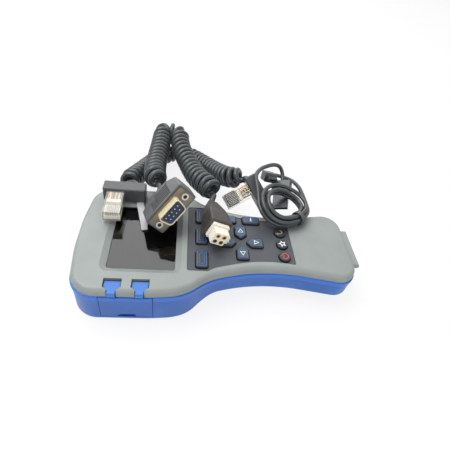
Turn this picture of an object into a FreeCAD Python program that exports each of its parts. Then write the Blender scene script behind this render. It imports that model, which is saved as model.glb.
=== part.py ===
import FreeCAD, Part
import math
import os

from FreeCAD import Matrix, Vector

# Handheld programmer with a grey front shell, a blue back shell and three leads, in millimetres.
# X runs along the handset from the head (-X) to the end of the handle (+X), Y runs across it and Z is up.
# The handset lies on the back of its head, with the origin under the middle of its box.
# Places along the handset are measured from the end of its head, and places of the leads from the origin.

# Handset outline
LENGTH = 192.0
WIDTH = 94.0
TAB_REACH = 3.8              # the tab stands this far beyond the handle's end
HEAD_FLAT = 26.0             # straight middle of the head's end
HEAD_BOW = 4.0               # the head's end falls back this far at its corners
HEAD_CORNER = 17.0
SHOULDER_START = 50.0
SHOULDER_X = 71.2
SHOULDER_DROP = 1.6
SHOULDER_RADIUS = 34.0
NECK_X = 86.3
NECK_WIDTH = 66.2
NECK_RADIUS = 40.0
GRIP_X = 122.7
GRIP_WIDTH = 45.2            # where the two straight sides of the grip would meet, before rounding
GRIP_RADIUS = 125.0
END_WIDTH = 66.2
END_CORNER = 13.0
END_FLAT = 26.0
END_BOW = 1.1
SOFT_RADIUS = 120.0          # rounding of the slight kinks in the outline

# Heights
FACE_Z = 31.0
PARTING_Z = 25.2
HANDLE_LIFT = 9.0            # the handle's back lies this much above the head's back
RAMP_START = 74.0
RAMP_END = 90.0
RAMP_RADIUS = 18.0
WALL = 2.4
BACK_EDGE = 3.2
FACE_EDGE = 3.2
RIM_STEP = 0.9               # the front shell is set in from the rim band
BAND_PROUD = 0.6             # the rim band stands out from the blue wall
BAND_HEIGHT = 3.2
BAND_EDGE = 0.7
CLEARANCE = 0.25             # sliding and seating gap between rigid pieces
OVERLAP = 0.5                # depth by which one feature of a solid is sunk into the next

# Screen
GLASS_LENGTH = 42.0
GLASS_WIDTH = 56.0
SCREEN_X = 43.7
SCREEN_SINK = 3.0            # window below the face
BEZEL_SLOPE = 3.8            # plan width of the sloping recess wall
BEZEL_LAND = 0.8             # upright wall between slope and window
BEZEL_CORNER = 2.0
WINDOW_LEDGE = 2.5
WINDOW_THICK = 1.6
FRAME_WALL = 2.0
DISPLAY_BORDER = 3.5
DISPLAY_THICK = 3.5

# Keypad
PANEL_START = 72.0
PANEL_END = 144.5
PANEL_HEAD_WIDTH = 58.0
PANEL_STEP_X = 85.2
PANEL_NECK_X = 89.9
PANEL_NECK_WIDTH = 52.2
PANEL_GRIP_WIDTH = 34.4
PANEL_END_WIDTH = 42.2
PANEL_THICK = 1.2
PANEL_SINK = 0.4
KEY_FLOOR = 1.4
KEY_PROUD = 1.8
KEY_TRAVEL = 0.8
KEY_GAP = 0.35
KEY_EDGE = 0.7
KEY_CORNER = 1.6
FLANGE_WIDTH = 0.5
FLANGE_THICK = 1.0
STEM_RADIUS = 2.0
STEM_STOP = 0.15             # left between stem and switch at the end of the travel
DOME_RADIUS = 2.6
DOME_HEIGHT = 0.55
SOFTKEY_X = 81.4
SOFTKEY_PITCH = 19.9
SOFTKEY_SIZE = (8.0, 14.0)
ARROW_CENTRE = (108.7, -3.9)
ARROW_GAP = 3.0
ARROW_LENGTH = 12.1
ARROW_WIDTH = 8.4
ARROW_POINT = 3.7
ADJUST_SIZE = (12.5, 7.4)
ADJUST_Y = 17.9
ADJUST_X = 108.75
ADJUST_PITCH = 16.9
ROUND_KEY_X = 137.4
ROUND_KEY_Y = -3.9
ROUND_KEY_PITCH = 11.0
ROUND_KEY_RADIUS = 4.0

# Boards and fasteners
BOARD_THICK = 1.6
BOARD_START = 9.0
BOARD_STEP_X = 76.0
BOARD_END = 142.8
BOARD_HEAD_WIDTH = 61.0
BOARD_GRIP_WIDTH = 39.0
BOARD_CORNER = 3.0
BOARD_BOSSES = ((13.0, 26.0), (13.0, -26.0), (73.0, 26.5), (73.0, -26.5), (92.8, -17.0), (128.2, 3.0))
BOARD_BOSS_RADIUS = 2.3
BOARD_SCREW_RADIUS = 1.0
BOARD_SCREW_HEAD = 2.0
BOARD_SCREW_HEAD_HEIGHT = 1.4
HEAD_POSTS = ((12.0, -36.0), (62.0, -38.0), (19.5, 40.75), (74.0, 36.5))
HANDLE_POST_GAP = 13.2       # from the end of the main board
HANDLE_POST_SPREAD = 38.0
POST_RADIUS = 3.4
CASE_SCREW_RADIUS = 1.25
CASE_SCREW_HEAD = 2.3
CASE_SCREW_HEAD_HEIGHT = 2.0
COUNTERBORE_DEPTH = 4.0
SCREW_BITE = 2.2             # length of a case screw inside the front shell
SEAL_WIDTH = 1.0
SEAL_HEIGHT = 1.3
SEAL_INSET = 1.5

# Port door, its tethers and the bay behind it
DOOR_START = 20.9
DOOR_LENGTH = 31.9
DOOR_BOTTOM = 4.3
DOOR_GAP = 0.3
NOTCH_RADIUS = 12.0
NOTCH_DEPTH = 1.6
NOTCH_HEIGHT = 2.6
BAY_RIM = 2.0                # the door closes against this rim
BAY_DEPTH = 9.5
BAY_WALL = 1.5
TETHER_PITCH = 16.2
TETHER_SHIFT = 0.1           # middle of the two tethers from the middle of the door
TETHER_HEAD = 9.6
TETHER_NECK = 4.6
TETHER_THICK = 2.2
TETHER_START = 36.9          # inner end of the pocket, from the axis of the handset
TETHER_SHOULDER = 43.0
TETHER_SLOPE = 1.6
POCKET_GAP = 0.5
POCKET_DEPTH = 3.8
HINGE_RADIUS = 0.8
HINGE_INSET = 0.8            # hinge axis from the outside of the rim band
HINGE_RISE = 0.9             # hinge axis above the parting plane

# Sockets
IO_BOARD_Z = 12.0
IO_BOARD_LENGTH = 38.0
IO_BOARD_DEPTH = 13.5
IO_POST_RADIUS = 2.0
USB_SOCKET = (7.7, 9.2, 3.9)
USB_SOCKET_WALL = 0.5
CARD_SLOT = (26.0, 14.0, 2.9)
CARD_MOUTH = (24.4, 2.3)
JACK = (16.0, 15.0, 12.2)
JACK_MOUTH = (11.9, 6.9)
JACK_LATCH = (6.2, 2.4)
JACK_DEPTH = 12.5

# Tab over the socket
TAB_WIDTH = 33.2
TAB_THICK = 3.1
TAB_ROOT = 9.0
TAB_EDGE = 1.1

# Battery bay
CELL_RADIUS = 7.1
CELL_LENGTH = 49.0
CELL_COUNT = 4
CELL_GAP = 0.2
CELL_NUB_RADIUS = 2.6
CELL_NUB = 1.2
CONTACT_ROOM = 1.2
BATTERY_X = 38.0
BATTERY_Y = 9.6
BATTERY_WALL = 1.6
COVER_THICK = 1.8
COVER_LAP = 1.0
COVER_STRIP = 6.4
COVER_CORNER = 3.0
COVER_SCREW_SPREAD = 47.0
COVER_SCREW_RADIUS = 1.2
COVER_SCREW_HEAD = 2.2
COVER_SCREW_HEAD_HEIGHT = 0.9
COVER_POST_RADIUS = 3.0
COVER_POST_HEIGHT = 7.0

# Lead ends
BLOCK_WIDTH = 29.5
BLOCK_SIDE = 9.1             # from the plug's axis to the near end of the block
BLOCK_HEIGHT = 12.0
BLOCK_DEPTH = 9.4
BLOCK_EDGE = 1.2
PLUG_WIDTH = 11.7
PLUG_HEIGHT = 8.0
PLUG_REACH = 21.4
PLUG_EDGE = 0.6
LATCH_WIDTH = 6.0
LATCH_THICK = 0.9
LATCH_DROP = 1.6
PLATE = (30.8, 12.5)
PLATE_THICK = 0.8
PLATE_CORNER = 1.6
SHELL_WIDE = 17.0
SHELL_NARROW = 14.2
SHELL_HEIGHT = 8.2
SHELL_CORNER = 2.2
SHELL_REACH = 5.6
SHELL_WALL = 0.5
PIN_PITCH = 2.77
PIN_ROW = 2.84
PIN_RADIUS = 0.55
PIN_DEPTH = 5.0
NUT_SPREAD = 25.0
NUT_RADIUS = 2.4
NUT_HEIGHT = 2.2
NUT_BORE = 1.3
HOOD_MARGIN = 1.4
HOOD_DEPTH = 14.0
HOOD_TAPER = 11.0
HOOD_TAIL = (17.0, 11.5)
HOOD_GRIPS = 5
GRIP_PITCH = 2.2
GRIP_CUT = 0.7
RELIEF_LENGTH = 7.0
RELIEF_ROOT = 4.6
RELIEF_END = 3.4
FOUR_WAY = (9.6, 9.6)
FOUR_WAY_LENGTH = 9.0
FOUR_WAY_SKIRT = 1.1
FOUR_WAY_SKIRT_LENGTH = 2.6
FOUR_WAY_PITCH = 4.5
FOUR_WAY_BORE = 1.1
FOUR_WAY_BORE_DEPTH = 7.0
FOUR_WAY_LATCH = (5.4, 2.0, 8.2)
BOOT_LENGTH = 27.0
BOOT_ROOT = (13.6, 13.2)
BOOT_TAIL = (7.2, 7.0)
CORD_DIAMETER = 3.8
COIL_DIAMETER = 14.6
USB_CORD_DIAMETER = 3.2
HANK_DIAMETER = 9.0
USB_A_MOULD = (15.0, 8.0, 10.0)
USB_A_SHELL = (12.0, 4.5, 13.5)
USB_MINI_MOULD = (10.0, 7.5, 10.0)
USB_MINI_SHELL = (6.8, 3.0, 6.0)
USB_SHELL_WALL = 0.4
USB_EDGE = 1.0
TIE_WIDTH = 3.0
TIE_THICK = 0.8

# Places of the lead ends: a point of the piece, the way its mouth points and the way its top points
BLOCK_A_PLACE = (Vector(-75.2, 29.4, 37.3), Vector(0.0, -1.0, 0.0), Vector(0.0, 0.0, 1.0))
BLOCK_B_PLACE = (Vector(22.5, 48.0, 36.0), Vector(-0.85, -0.37, -0.375), Vector(-0.07, -0.63, 0.77))
NINE_WAY_PLACE = (Vector(-35.7, 6.5, 48.36), Vector(0.26, -0.91, 0.30), Vector(-0.74, 0.01, 0.67))
FOUR_WAY_PLACE = (Vector(-4.1, -12.0, 42.3), Vector(0.12, -0.99, 0.055), Vector(0.39, 0.10, 0.92))
USB_A_PLACE = (Vector(50.2, 51.8, 32.0), Vector(-0.13, -0.90, -0.42), Vector(-0.45, -0.20, 0.87))
USB_MINI_PLACE = (Vector(39.5, 56.0, 43.0), Vector(0.10, -0.90, 0.42), Vector(0.15, 0.42, 0.90))
BLOCK_A_ENTRY = (13.2, -4.0)   # where the tail enters the back of the block, across and up
BLOCK_B_ENTRY = 6.37           # how far beside the plug the other tail ends in the heart of its block

# Routes of the cords, point by point
COIL_A_ROUTE = (
    (-48.6, 45.8, 39.3), (-50.6, 57.4, 37.1), (-51.2, 73.0, 34.6), (-50.7, 91.0, 32.0),
    (-50.2, 108.0, 29.8), (-49.8, 124.0, 28.2), (-49.6, 141.8, 27.2), (-32.8, 141.8, 27.2),
    (-32.4, 124.0, 28.2), (-30.6, 108.0, 29.9), (-27.3, 91.0, 32.0), (-23.2, 73.0, 34.8),
    (-18.4, 56.0, 37.9), (-13.6, 42.6, 40.2), (-9.8, 32.6, 41.2))
COIL_B_ROUTE = (
    (-72.2, 56.8, 28.6), (-71.6, 63.0, 25.5), (-69.0, 72.0, 21.4), (-65.0, 84.0, 17.4), (-60.4, 99.0, 13.0),
    (-54.8, 114.0, 9.3), (-47.6, 125.8, 7.9), (-38.0, 131.4, 7.8), (-27.6, 130.0, 8.1), (-17.8, 119.0, 11.2),
    (-9.0, 101.0, 17.8), (-1.2, 82.0, 25.6), (5.6, 66.6, 32.8), (9.8, 60.2, 36.2), (12.8, 56.6, 37.9))
TAIL_A_ROUTE = ((-64.2, 48.0, 34.6), (-68.8, 50.2, 34.4))
USB_A_TAIL_ROUTE = (
    (24.8, 48.4, 51.4), (29.2, 56.4, 51.8), (37.0, 61.6, 50.4), (45.4, 65.2, 46.4),
    (51.4, 67.4, 42.2))
USB_MINI_TAIL_ROUTE = ((62.6, 55.0, 38.4), (60.4, 66.0, 35.4), (52.6, 73.6, 32.6), (43.4, 74.2, 34.0))
HANK_ROUTE = (
    (42.9, 13.4, 36.8), (52.0, 15.0, 37.0), (60.2, 21.4, 36.9), (64.2, 29.9, 36.6), (61.4, 38.6, 37.0),
    (54.0, 43.6, 39.4), (44.4, 44.0, 42.2), (35.0, 39.6, 44.8), (29.0, 30.0, 44.8), (30.0, 19.6, 42.2),
    (35.4, 14.4, 39.0))
NECK_REACH = 3.0               # the same for the short necks between a coil and its hood or boot
LINK_REACH = 4.6               # straight start of a tail, square to the piece that it leaves


def rounded_wire(corners):
    """A closed outline in the XY plane through corners (x, y, radius), each rounded by an arc."""
    points = [Vector(x, y, 0) for x, y, radius in corners]
    count = len(points)
    runs = [(points[(i + 1) % count] - points[i]).Length for i in range(count)]
    halves = []
    wanted = []
    for i in range(count):
        angle = (points[i - 1] - points[i]).getAngle(points[(i + 1) % count] - points[i])
        halves.append((math.pi - angle) / 2)
        wanted.append(corners[i][2] * math.tan(halves[i]))
    starts = []
    ends = []
    middles = []
    for i in range(count):
        corner = points[i]
        back = points[i - 1] - corner
        ahead = points[(i + 1) % count] - corner
        half = halves[i]
        before = max(wanted[i] + wanted[i - 1], runs[i - 1])
        after = max(wanted[i] + wanted[(i + 1) % count], runs[i])
        reach = wanted[i] * min(runs[i - 1] / before, runs[i] / after)
        radius = reach / math.tan(half)
        back.normalize()
        ahead.normalize()
        bisector = back + ahead
        bisector.normalize()
        starts.append(corner + back * reach)
        ends.append(corner + ahead * reach)
        middles.append(corner + bisector * (radius / math.cos(half) - radius))
    edges = []
    for i in range(count):
        if (ends[i] - starts[i]).Length > 1e-6:
            edges.append(Part.Arc(starts[i], middles[i], ends[i]).toShape())
        following = starts[(i + 1) % count]
        if (following - ends[i]).Length > 1e-6:
            edges.append(Part.LineSegment(ends[i], following).toShape())
    return Part.Wire(edges)


def mirrored_wire(half):
    """A closed outline that is the same on both sides of the X axis, from its half below the axis."""
    far = [(x, -y, radius) for x, y, radius in reversed(half)]
    return rounded_wire(list(half) + far)


def rectangle_wire(x, y, length, width, radius):
    a = length / 2
    b = width / 2
    return rounded_wire([(x - a, y - b, radius), (x + a, y - b, radius),
                         (x + a, y + b, radius), (x - a, y + b, radius)])


def grown(wire, distance):
    return wire.makeOffset2D(distance) if distance else wire


def prism(wire, bottom, top):
    face = Part.Face(wire)
    face.translate(Vector(0, 0, bottom))
    return face.extrude(Vector(0, 0, top - bottom))


def box(x0, x1, y0, y1, z0, z1):
    return Part.makeBox(x1 - x0, y1 - y0, z1 - z0, Vector(x0, y0, z0))


def rod(x, y, bottom, top, radius):
    return Part.makeCylinder(radius, top - bottom, Vector(x, y, bottom))


def level_edges(shape, z):
    """Edges that lie wholly at one height."""
    return [e for e in shape.Edges
            if all(abs(v.Z - z) < 1e-4 for v in e.Vertexes) and abs(e.CenterOfMass.z - z) < 1e-4]


def softened(shape, z, radius):
    return shape.makeFillet(radius, level_edges(shape, z))


def joined(first, *others):
    result = first
    for other in others:
        result = result.fuse(other)
    return result.removeSplitter()


def without(first, *others):
    result = first
    for other in others:
        result = result.cut(other)
    return result


def placed(shape, place):
    """A piece made with its mouth along +X and its top along +Z, put at its place among the leads."""
    origin, mouth, top = place
    x = Vector(mouth).normalize()
    z = (Vector(top) - x * x.dot(top)).normalize()
    y = z.cross(x)
    turned = shape.copy()
    turned.transformShape(Matrix(x.x, y.x, z.x, origin.x, x.y, y.y, z.y, origin.y,
                                 x.z, y.z, z.z, origin.z, 0, 0, 0, 1))
    return turned


def place_point(place, x, y, z):
    """Where a point of such a piece comes to lie."""
    return placed(Part.Vertex(x, y, z), place).Point


def upright_wire(x, outline):
    """The outline, drawn in Y and Z, at one distance along a lead end."""
    wire = outline.copy()
    wire.transformShape(Matrix(0, 0, 1, x, 1, 0, 0, 0, 0, 1, 0, 0, 0, 0, 0, 1))
    return wire


def bar(outline, start, end):
    """A bar along X with a cross-section drawn in Y and Z."""
    return Part.Face(upright_wire(start, outline)).extrude(Vector(end - start, 0, 0))


def tapered_bar(first, start, second, end):
    return Part.makeLoft([upright_wire(start, first), upright_wire(end, second)], True, True)


def cord_tube(name, route, diameter, closed=False):
    """A plain tube along straight runs that are joined by arcs as large as the runs allow."""
    points = [Vector(*p) for p in route]
    count = len(points)
    corners = range(count) if closed else range(1, count - 1)
    edges = []
    radii = []
    last = None if closed else points[0]
    first = None
    for i in corners:
        corner = points[i]
        back = points[i - 1] - corner
        ahead = points[(i + 1) % count] - corner
        half = (math.pi - back.getAngle(ahead)) / 2
        reach = 0.45 * min(back.Length, ahead.Length)
        radius = reach / math.tan(half)
        radii.append(radius)
        back.normalize()
        ahead.normalize()
        bisector = (back + ahead).normalize()
        start = corner + back * reach
        end = corner + ahead * reach
        if last is None:
            first = start
        else:
            edges.append(Part.LineSegment(last, start).toShape())
        edges.append(Part.Arc(start, corner + bisector * (radius / math.cos(half) - radius), end).toShape())
        last = end
    finish = first if closed else points[-1]
    edges.append(Part.LineSegment(last, finish).toShape())
    half = len(edges) // 2
    stretches = (edges[:half], edges[half:]) if closed else (edges,)
    tubes = []
    for stretch in stretches:
        start = stretch[0].Vertexes[0].Point
        way = stretch[0].tangentAt(stretch[0].FirstParameter)
        section = Part.Wire(Part.makeCircle(diameter / 2, start, way))
        tubes.append(Part.Wire(stretch).makePipeShell([section], True, False))
    tube = joined(*tubes)
    length = sum(e.Length for e in edges)
    ideal = math.pi * diameter ** 2 / 4 * length
    print(name, "length", round(length, 1), "volume share", round(tube.Volume / ideal, 4),
          "radii", [round(r, 1) for r in radii])
    return tube


HEAD_END = -LENGTH / 2


def along(distance):
    """X of a place on the handset, from its distance to the end of the head."""
    return HEAD_END + distance


# Levels and lines that several pieces share
TAB_END = LENGTH / 2
HANDLE_END = TAB_END - TAB_REACH
SIDE = WIDTH / 2
GLASS_Z = FACE_Z - SCREEN_SINK
FRAME_Z = GLASS_Z - WINDOW_THICK
DISPLAY_Z = FRAME_Z - DISPLAY_THICK
BOARD_Z = DISPLAY_Z - BOARD_THICK
INNER_FACE_Z = FACE_Z - WALL
PANEL_TOP = FACE_Z - PANEL_SINK
PANEL_Z = PANEL_TOP - PANEL_THICK
KEY_FLOOR_Z = PANEL_Z - KEY_FLOOR
KEY_TOP = PANEL_TOP + KEY_PROUD
FLANGE_TOP = KEY_FLOOR_Z - CLEARANCE
FLANGE_Z = FLANGE_TOP - FLANGE_THICK
STEM_Z = DISPLAY_Z + DOME_HEIGHT + STEM_STOP + KEY_TRAVEL
WALL_Y = SIDE - BAND_PROUD                  # outside of the blue wall
BAY_Y = -(WALL_Y - WALL)                    # inside of the blue wall at the door
DOOR_END = along(DOOR_START) + DOOR_LENGTH
DOOR_MIDDLE = along(DOOR_START) + DOOR_LENGTH / 2
DOOR_TOP = PARTING_Z - CLEARANCE
HINGE_Y = -(SIDE - HINGE_INSET)
HINGE_Z = PARTING_Z + HINGE_RISE
POCKET_Z = FACE_Z - POCKET_DEPTH
TETHERS_X = [DOOR_MIDDLE + TETHER_SHIFT + side * TETHER_PITCH / 2 for side in (-1, 1)]
CELL_PITCH = 2 * CELL_RADIUS + CELL_GAP
BATTERY_LENGTH = CELL_PITCH * CELL_COUNT + CELL_GAP
BATTERY_WIDTH = CELL_LENGTH + CELL_NUB + 2 * CONTACT_ROOM
CELL_Z = COVER_THICK + CLEARANCE + CELL_RADIUS
BATTERY_TOP = CELL_Z + CELL_RADIUS + CLEARANCE
COVER_LENGTH = BATTERY_LENGTH + 2 * COVER_LAP
COVER_NEAR = BATTERY_Y - BATTERY_WIDTH / 2 - COVER_LAP - COVER_STRIP
COVER_FAR = BATTERY_Y + BATTERY_WIDTH / 2 + COVER_LAP
COVER_SCREWS = [(along(BATTERY_X) + side * COVER_SCREW_SPREAD / 2, COVER_NEAR + COVER_STRIP / 2)
                for side in (-1, 1)]
BAY_BACK = BAY_Y + BAY_DEPTH
IO_BOARD_Y = BAY_BACK + BAY_WALL
CASE_POSTS = [(along(x), y, 0.0) for x, y in HEAD_POSTS] + [
    (along(BOARD_END) + HANDLE_POST_GAP, side * HANDLE_POST_SPREAD / 2, HANDLE_LIFT) for side in (1, -1)]
BOSSES = [(along(x), y) for x, y in BOARD_BOSSES]

BODY = mirrored_wire([
    (HEAD_END, -HEAD_FLAT / 2, SOFT_RADIUS),
    (HEAD_END + HEAD_BOW, -SIDE, HEAD_CORNER),
    (along(SHOULDER_START), -SIDE, SOFT_RADIUS),
    (along(SHOULDER_X), -SIDE + SHOULDER_DROP, SHOULDER_RADIUS),
    (along(NECK_X), -NECK_WIDTH / 2, NECK_RADIUS),
    (along(GRIP_X), -GRIP_WIDTH / 2, GRIP_RADIUS),
    (HANDLE_END - END_BOW, -END_WIDTH / 2, END_CORNER),
    (HANDLE_END, -END_FLAT / 2, SOFT_RADIUS)])

PANEL = mirrored_wire([
    (along(PANEL_START), -PANEL_HEAD_WIDTH / 2, KEY_CORNER),
    (along(PANEL_STEP_X), -PANEL_HEAD_WIDTH / 2, KEY_CORNER),
    (along(PANEL_NECK_X), -PANEL_NECK_WIDTH / 2, HEAD_CORNER),
    (along(GRIP_X), -PANEL_GRIP_WIDTH / 2, GRIP_RADIUS),
    (along(PANEL_END), -PANEL_END_WIDTH / 2, KEY_CORNER)])


def body_prism(inset, bottom, top):
    return prism(grown(BODY, -inset), bottom, top)


def above_back(lift):
    """All the room above the back of the handset, raised by the lift, with its ramp."""
    ceiling = FACE_Z * 2
    profile = rounded_wire([
        (-LENGTH, lift, 0.0), (along(RAMP_START), lift, RAMP_RADIUS),
        (along(RAMP_END), HANDLE_LIFT + lift, RAMP_RADIUS),
        (LENGTH, HANDLE_LIFT + lift, 0.0), (LENGTH, ceiling, 0.0), (-LENGTH, ceiling, 0.0)])
    profile.rotate(Vector(0, 0, 0), Vector(1, 0, 0), 90)
    profile.translate(Vector(0, WIDTH, 0))
    return Part.Face(profile).extrude(Vector(0, -2 * WIDTH, 0))


def arrow_wire(turns):
    """A five-sided key that points at the middle of the four arrows."""
    half = ARROW_WIDTH / 2
    far = ARROW_GAP + ARROW_LENGTH
    shoulder = ARROW_GAP + ARROW_POINT
    wire = rounded_wire([
        (ARROW_GAP, 0.0, KEY_CORNER), (shoulder, -half, KEY_CORNER), (far, -half, KEY_CORNER),
        (far, half, KEY_CORNER), (shoulder, half, KEY_CORNER)])
    wire.rotate(Vector(0, 0, 0), Vector(0, 0, 1), 90 * turns)
    wire.translate(Vector(along(ARROW_CENTRE[0]), ARROW_CENTRE[1], 0))
    return wire


def key_wires():
    """The outline of every key, by name. Up is towards the head, as the user holds the handset."""
    wires = {}
    for name, step in (("softkey_left", -1), ("softkey_middle", 0), ("softkey_right", 1)):
        wires[name] = rectangle_wire(along(SOFTKEY_X), step * SOFTKEY_PITCH, *SOFTKEY_SIZE, KEY_CORNER)
    for turns, name in enumerate(("arrow_down", "arrow_right", "arrow_up", "arrow_left")):
        wires[name] = arrow_wire(turns)
    for name, side in (("plus_key", -1), ("minus_key", 1)):
        x = along(ADJUST_X) + side * ADJUST_PITCH / 2
        wires[name] = rectangle_wire(x, ADJUST_Y, *ADJUST_SIZE, KEY_CORNER)
    for name, step in (("power_key", -1), ("star_key", 0), ("return_key", 1)):
        middle = Vector(along(ROUND_KEY_X), ROUND_KEY_Y + step * ROUND_KEY_PITCH, 0)
        wires[name] = Part.Wire(Part.makeCircle(ROUND_KEY_RADIUS, middle))
    return wires


KEYS = key_wires()


def tether_wire(margin):
    """The T of a door tether in plan, about its own middle line, with its neck towards the door."""
    head = TETHER_HEAD / 2 + margin
    neck = TETHER_NECK / 2 + margin
    inner = -TETHER_START - POCKET_GAP * 2 + margin * 2
    shoulder = -TETHER_SHOULDER
    points = [(-head, inner), (-head, shoulder), (-neck, shoulder - TETHER_SLOPE), (-neck, -SIDE),
              (neck, -SIDE), (neck, shoulder - TETHER_SLOPE), (head, shoulder), (head, inner)]
    vectors = [Vector(x, y, 0) for x, y in points]
    return Part.makePolygon(vectors + vectors[:1])


def back_solid():
    """The outside of the blue shell before it is hollowed: wall, rounded foot and rim band."""
    band_z = PARTING_Z - BAND_HEIGHT
    wall = body_prism(BAND_PROUD, 0, band_z + OVERLAP).common(above_back(0))
    foot_line = grown(BODY, -BAND_PROUD)
    foot = []
    for edge in wall.Edges:
        middle = edge.valueAt((edge.FirstParameter + edge.LastParameter) / 2)
        rise = abs(edge.Vertexes[0].Z - edge.Vertexes[-1].Z)
        on_wall = foot_line.distToShape(Part.Vertex(middle.x, middle.y, 0))[0] < 1e-3
        if on_wall and middle.z < HANDLE_LIFT + 1e-3 and rise < 0.9 * edge.Length:
            foot.append(edge)
    wall = wall.makeFillet(BACK_EDGE, foot)
    band = body_prism(0, band_z, PARTING_Z)
    band = softened(softened(band, PARTING_Z, BAND_EDGE), band_z, BAND_EDGE)
    return wall.fuse(band)


def door_room(gap):
    """The room that the port door takes up in the wall of the head."""
    return box(along(DOOR_START) + gap, DOOR_END - gap, -WIDTH, BAY_Y - gap,
               DOOR_BOTTOM + gap, PARTING_Z + OVERLAP)


def battery_room():
    return box(along(BATTERY_X) - BATTERY_LENGTH / 2, along(BATTERY_X) + BATTERY_LENGTH / 2,
               BATTERY_Y - BATTERY_WIDTH / 2, BATTERY_Y + BATTERY_WIDTH / 2, -OVERLAP, BATTERY_TOP)


def cover_wire(margin):
    return rectangle_wire(along(BATTERY_X), (COVER_NEAR + COVER_FAR) / 2, COVER_LENGTH + 2 * margin,
                          COVER_FAR - COVER_NEAR + 2 * margin, COVER_CORNER + margin)


def jack_box(gap):
    """The modular jack stands on the floor of the handle, with its mouth just inside the end wall."""
    length, width, height = JACK
    floor = HANDLE_LIFT + WALL
    return box(HANDLE_END - END_BOW - length - gap, HANDLE_END - END_BOW, -width / 2 - gap, width / 2 + gap,
               floor, floor + height + gap)


def usb_socket_box(gap):
    width, depth, height = USB_SOCKET
    bottom = IO_BOARD_Z + BOARD_THICK
    return box(DOOR_MIDDLE - width / 2 - gap, DOOR_MIDDLE + width / 2 + gap, BAY_BACK, BAY_BACK + depth,
               bottom - gap, bottom + height + gap)


def card_slot_box(gap):
    width, depth, height = CARD_SLOT
    return box(DOOR_MIDDLE - width / 2 - gap, DOOR_MIDDLE + width / 2 + gap, BAY_BACK, BAY_BACK + depth,
               IO_BOARD_Z - height - gap, IO_BOARD_Z + gap)


def io_posts():
    side = (IO_BOARD_LENGTH - 2 * IO_POST_RADIUS) / 2
    return [(DOOR_MIDDLE + sign * side, IO_BOARD_Y + IO_BOARD_DEPTH / 2) for sign in (-1, 1)]


def seal_ring(gap, top):
    """The seal runs round the rim and stops on either side of the door."""
    outer = body_prism(SEAL_INSET - gap, PARTING_Z - SEAL_HEIGHT - gap, top)
    inner = body_prism(SEAL_INSET + SEAL_WIDTH + gap, PARTING_Z - SEAL_HEIGHT - WALL, top + WALL)
    stop = box(along(DOOR_START) - BAY_RIM + gap, DOOR_END + BAY_RIM - gap, -WIDTH, 0, 0, FACE_Z)
    return without(outer, inner, stop)


def back_shell(solid):
    shell = solid.cut(body_prism(BAND_PROUD + WALL, -OVERLAP, FACE_Z).common(above_back(WALL)))
    inside = body_prism(BAND_PROUD + WALL - OVERLAP, 0, PARTING_Z).common(above_back(WALL - OVERLAP))
    additions = [
        box(along(DOOR_START) - BAY_WALL, DOOR_END + BAY_WALL, BAY_Y - OVERLAP, IO_BOARD_Y,
            WALL - OVERLAP, PARTING_Z),
        prism(cover_wire(BATTERY_WALL), WALL - OVERLAP, COVER_THICK + BATTERY_WALL),
        prism(rectangle_wire(along(BATTERY_X), BATTERY_Y, BATTERY_LENGTH + 2 * BATTERY_WALL,
                             BATTERY_WIDTH + 2 * BATTERY_WALL, BATTERY_WALL),
              WALL - OVERLAP, BATTERY_TOP + BATTERY_WALL)]
    additions += [rod(x, y, 0, PARTING_Z, POST_RADIUS) for x, y, back in CASE_POSTS]
    additions += [rod(x, y, 0, IO_BOARD_Z, IO_POST_RADIUS) for x, y in io_posts()]
    additions += [rod(x, y, COVER_THICK, COVER_POST_HEIGHT, COVER_POST_RADIUS) for x, y in COVER_SCREWS]
    for addition in additions:
        shell = shell.fuse(addition.common(inside))
    cuts = [
        door_room(0), battery_room(), jack_box(CLEARANCE),
        prism(cover_wire(CLEARANCE), -OVERLAP, COVER_THICK),
        box(along(DOOR_START) + BAY_RIM, DOOR_END - BAY_RIM, -WIDTH, BAY_BACK,
            DOOR_BOTTOM + BAY_RIM, PARTING_Z - BAY_RIM),
        usb_socket_box(CLEARANCE), card_slot_box(CLEARANCE), seal_ring(CLEARANCE / 2, PARTING_Z + OVERLAP)]
    length, width, height = JACK
    floor = HANDLE_LIFT + WALL
    cuts.append(box(HANDLE_END - END_BOW - OVERLAP, LENGTH, -width / 2, width / 2, floor, floor + height))
    for x, y, back in CASE_POSTS:
        cuts.append(rod(x, y, back - OVERLAP, PARTING_Z + OVERLAP, CASE_SCREW_RADIUS + CLEARANCE))
        cuts.append(rod(x, y, back - OVERLAP, back + COUNTERBORE_DEPTH, CASE_SCREW_HEAD + CLEARANCE))
    for x, y in COVER_SCREWS:
        cuts.append(rod(x, y, 0, COVER_POST_HEIGHT - WALL, COVER_SCREW_RADIUS + CLEARANCE))
    return without(shell, *cuts).removeSplitter()


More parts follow.
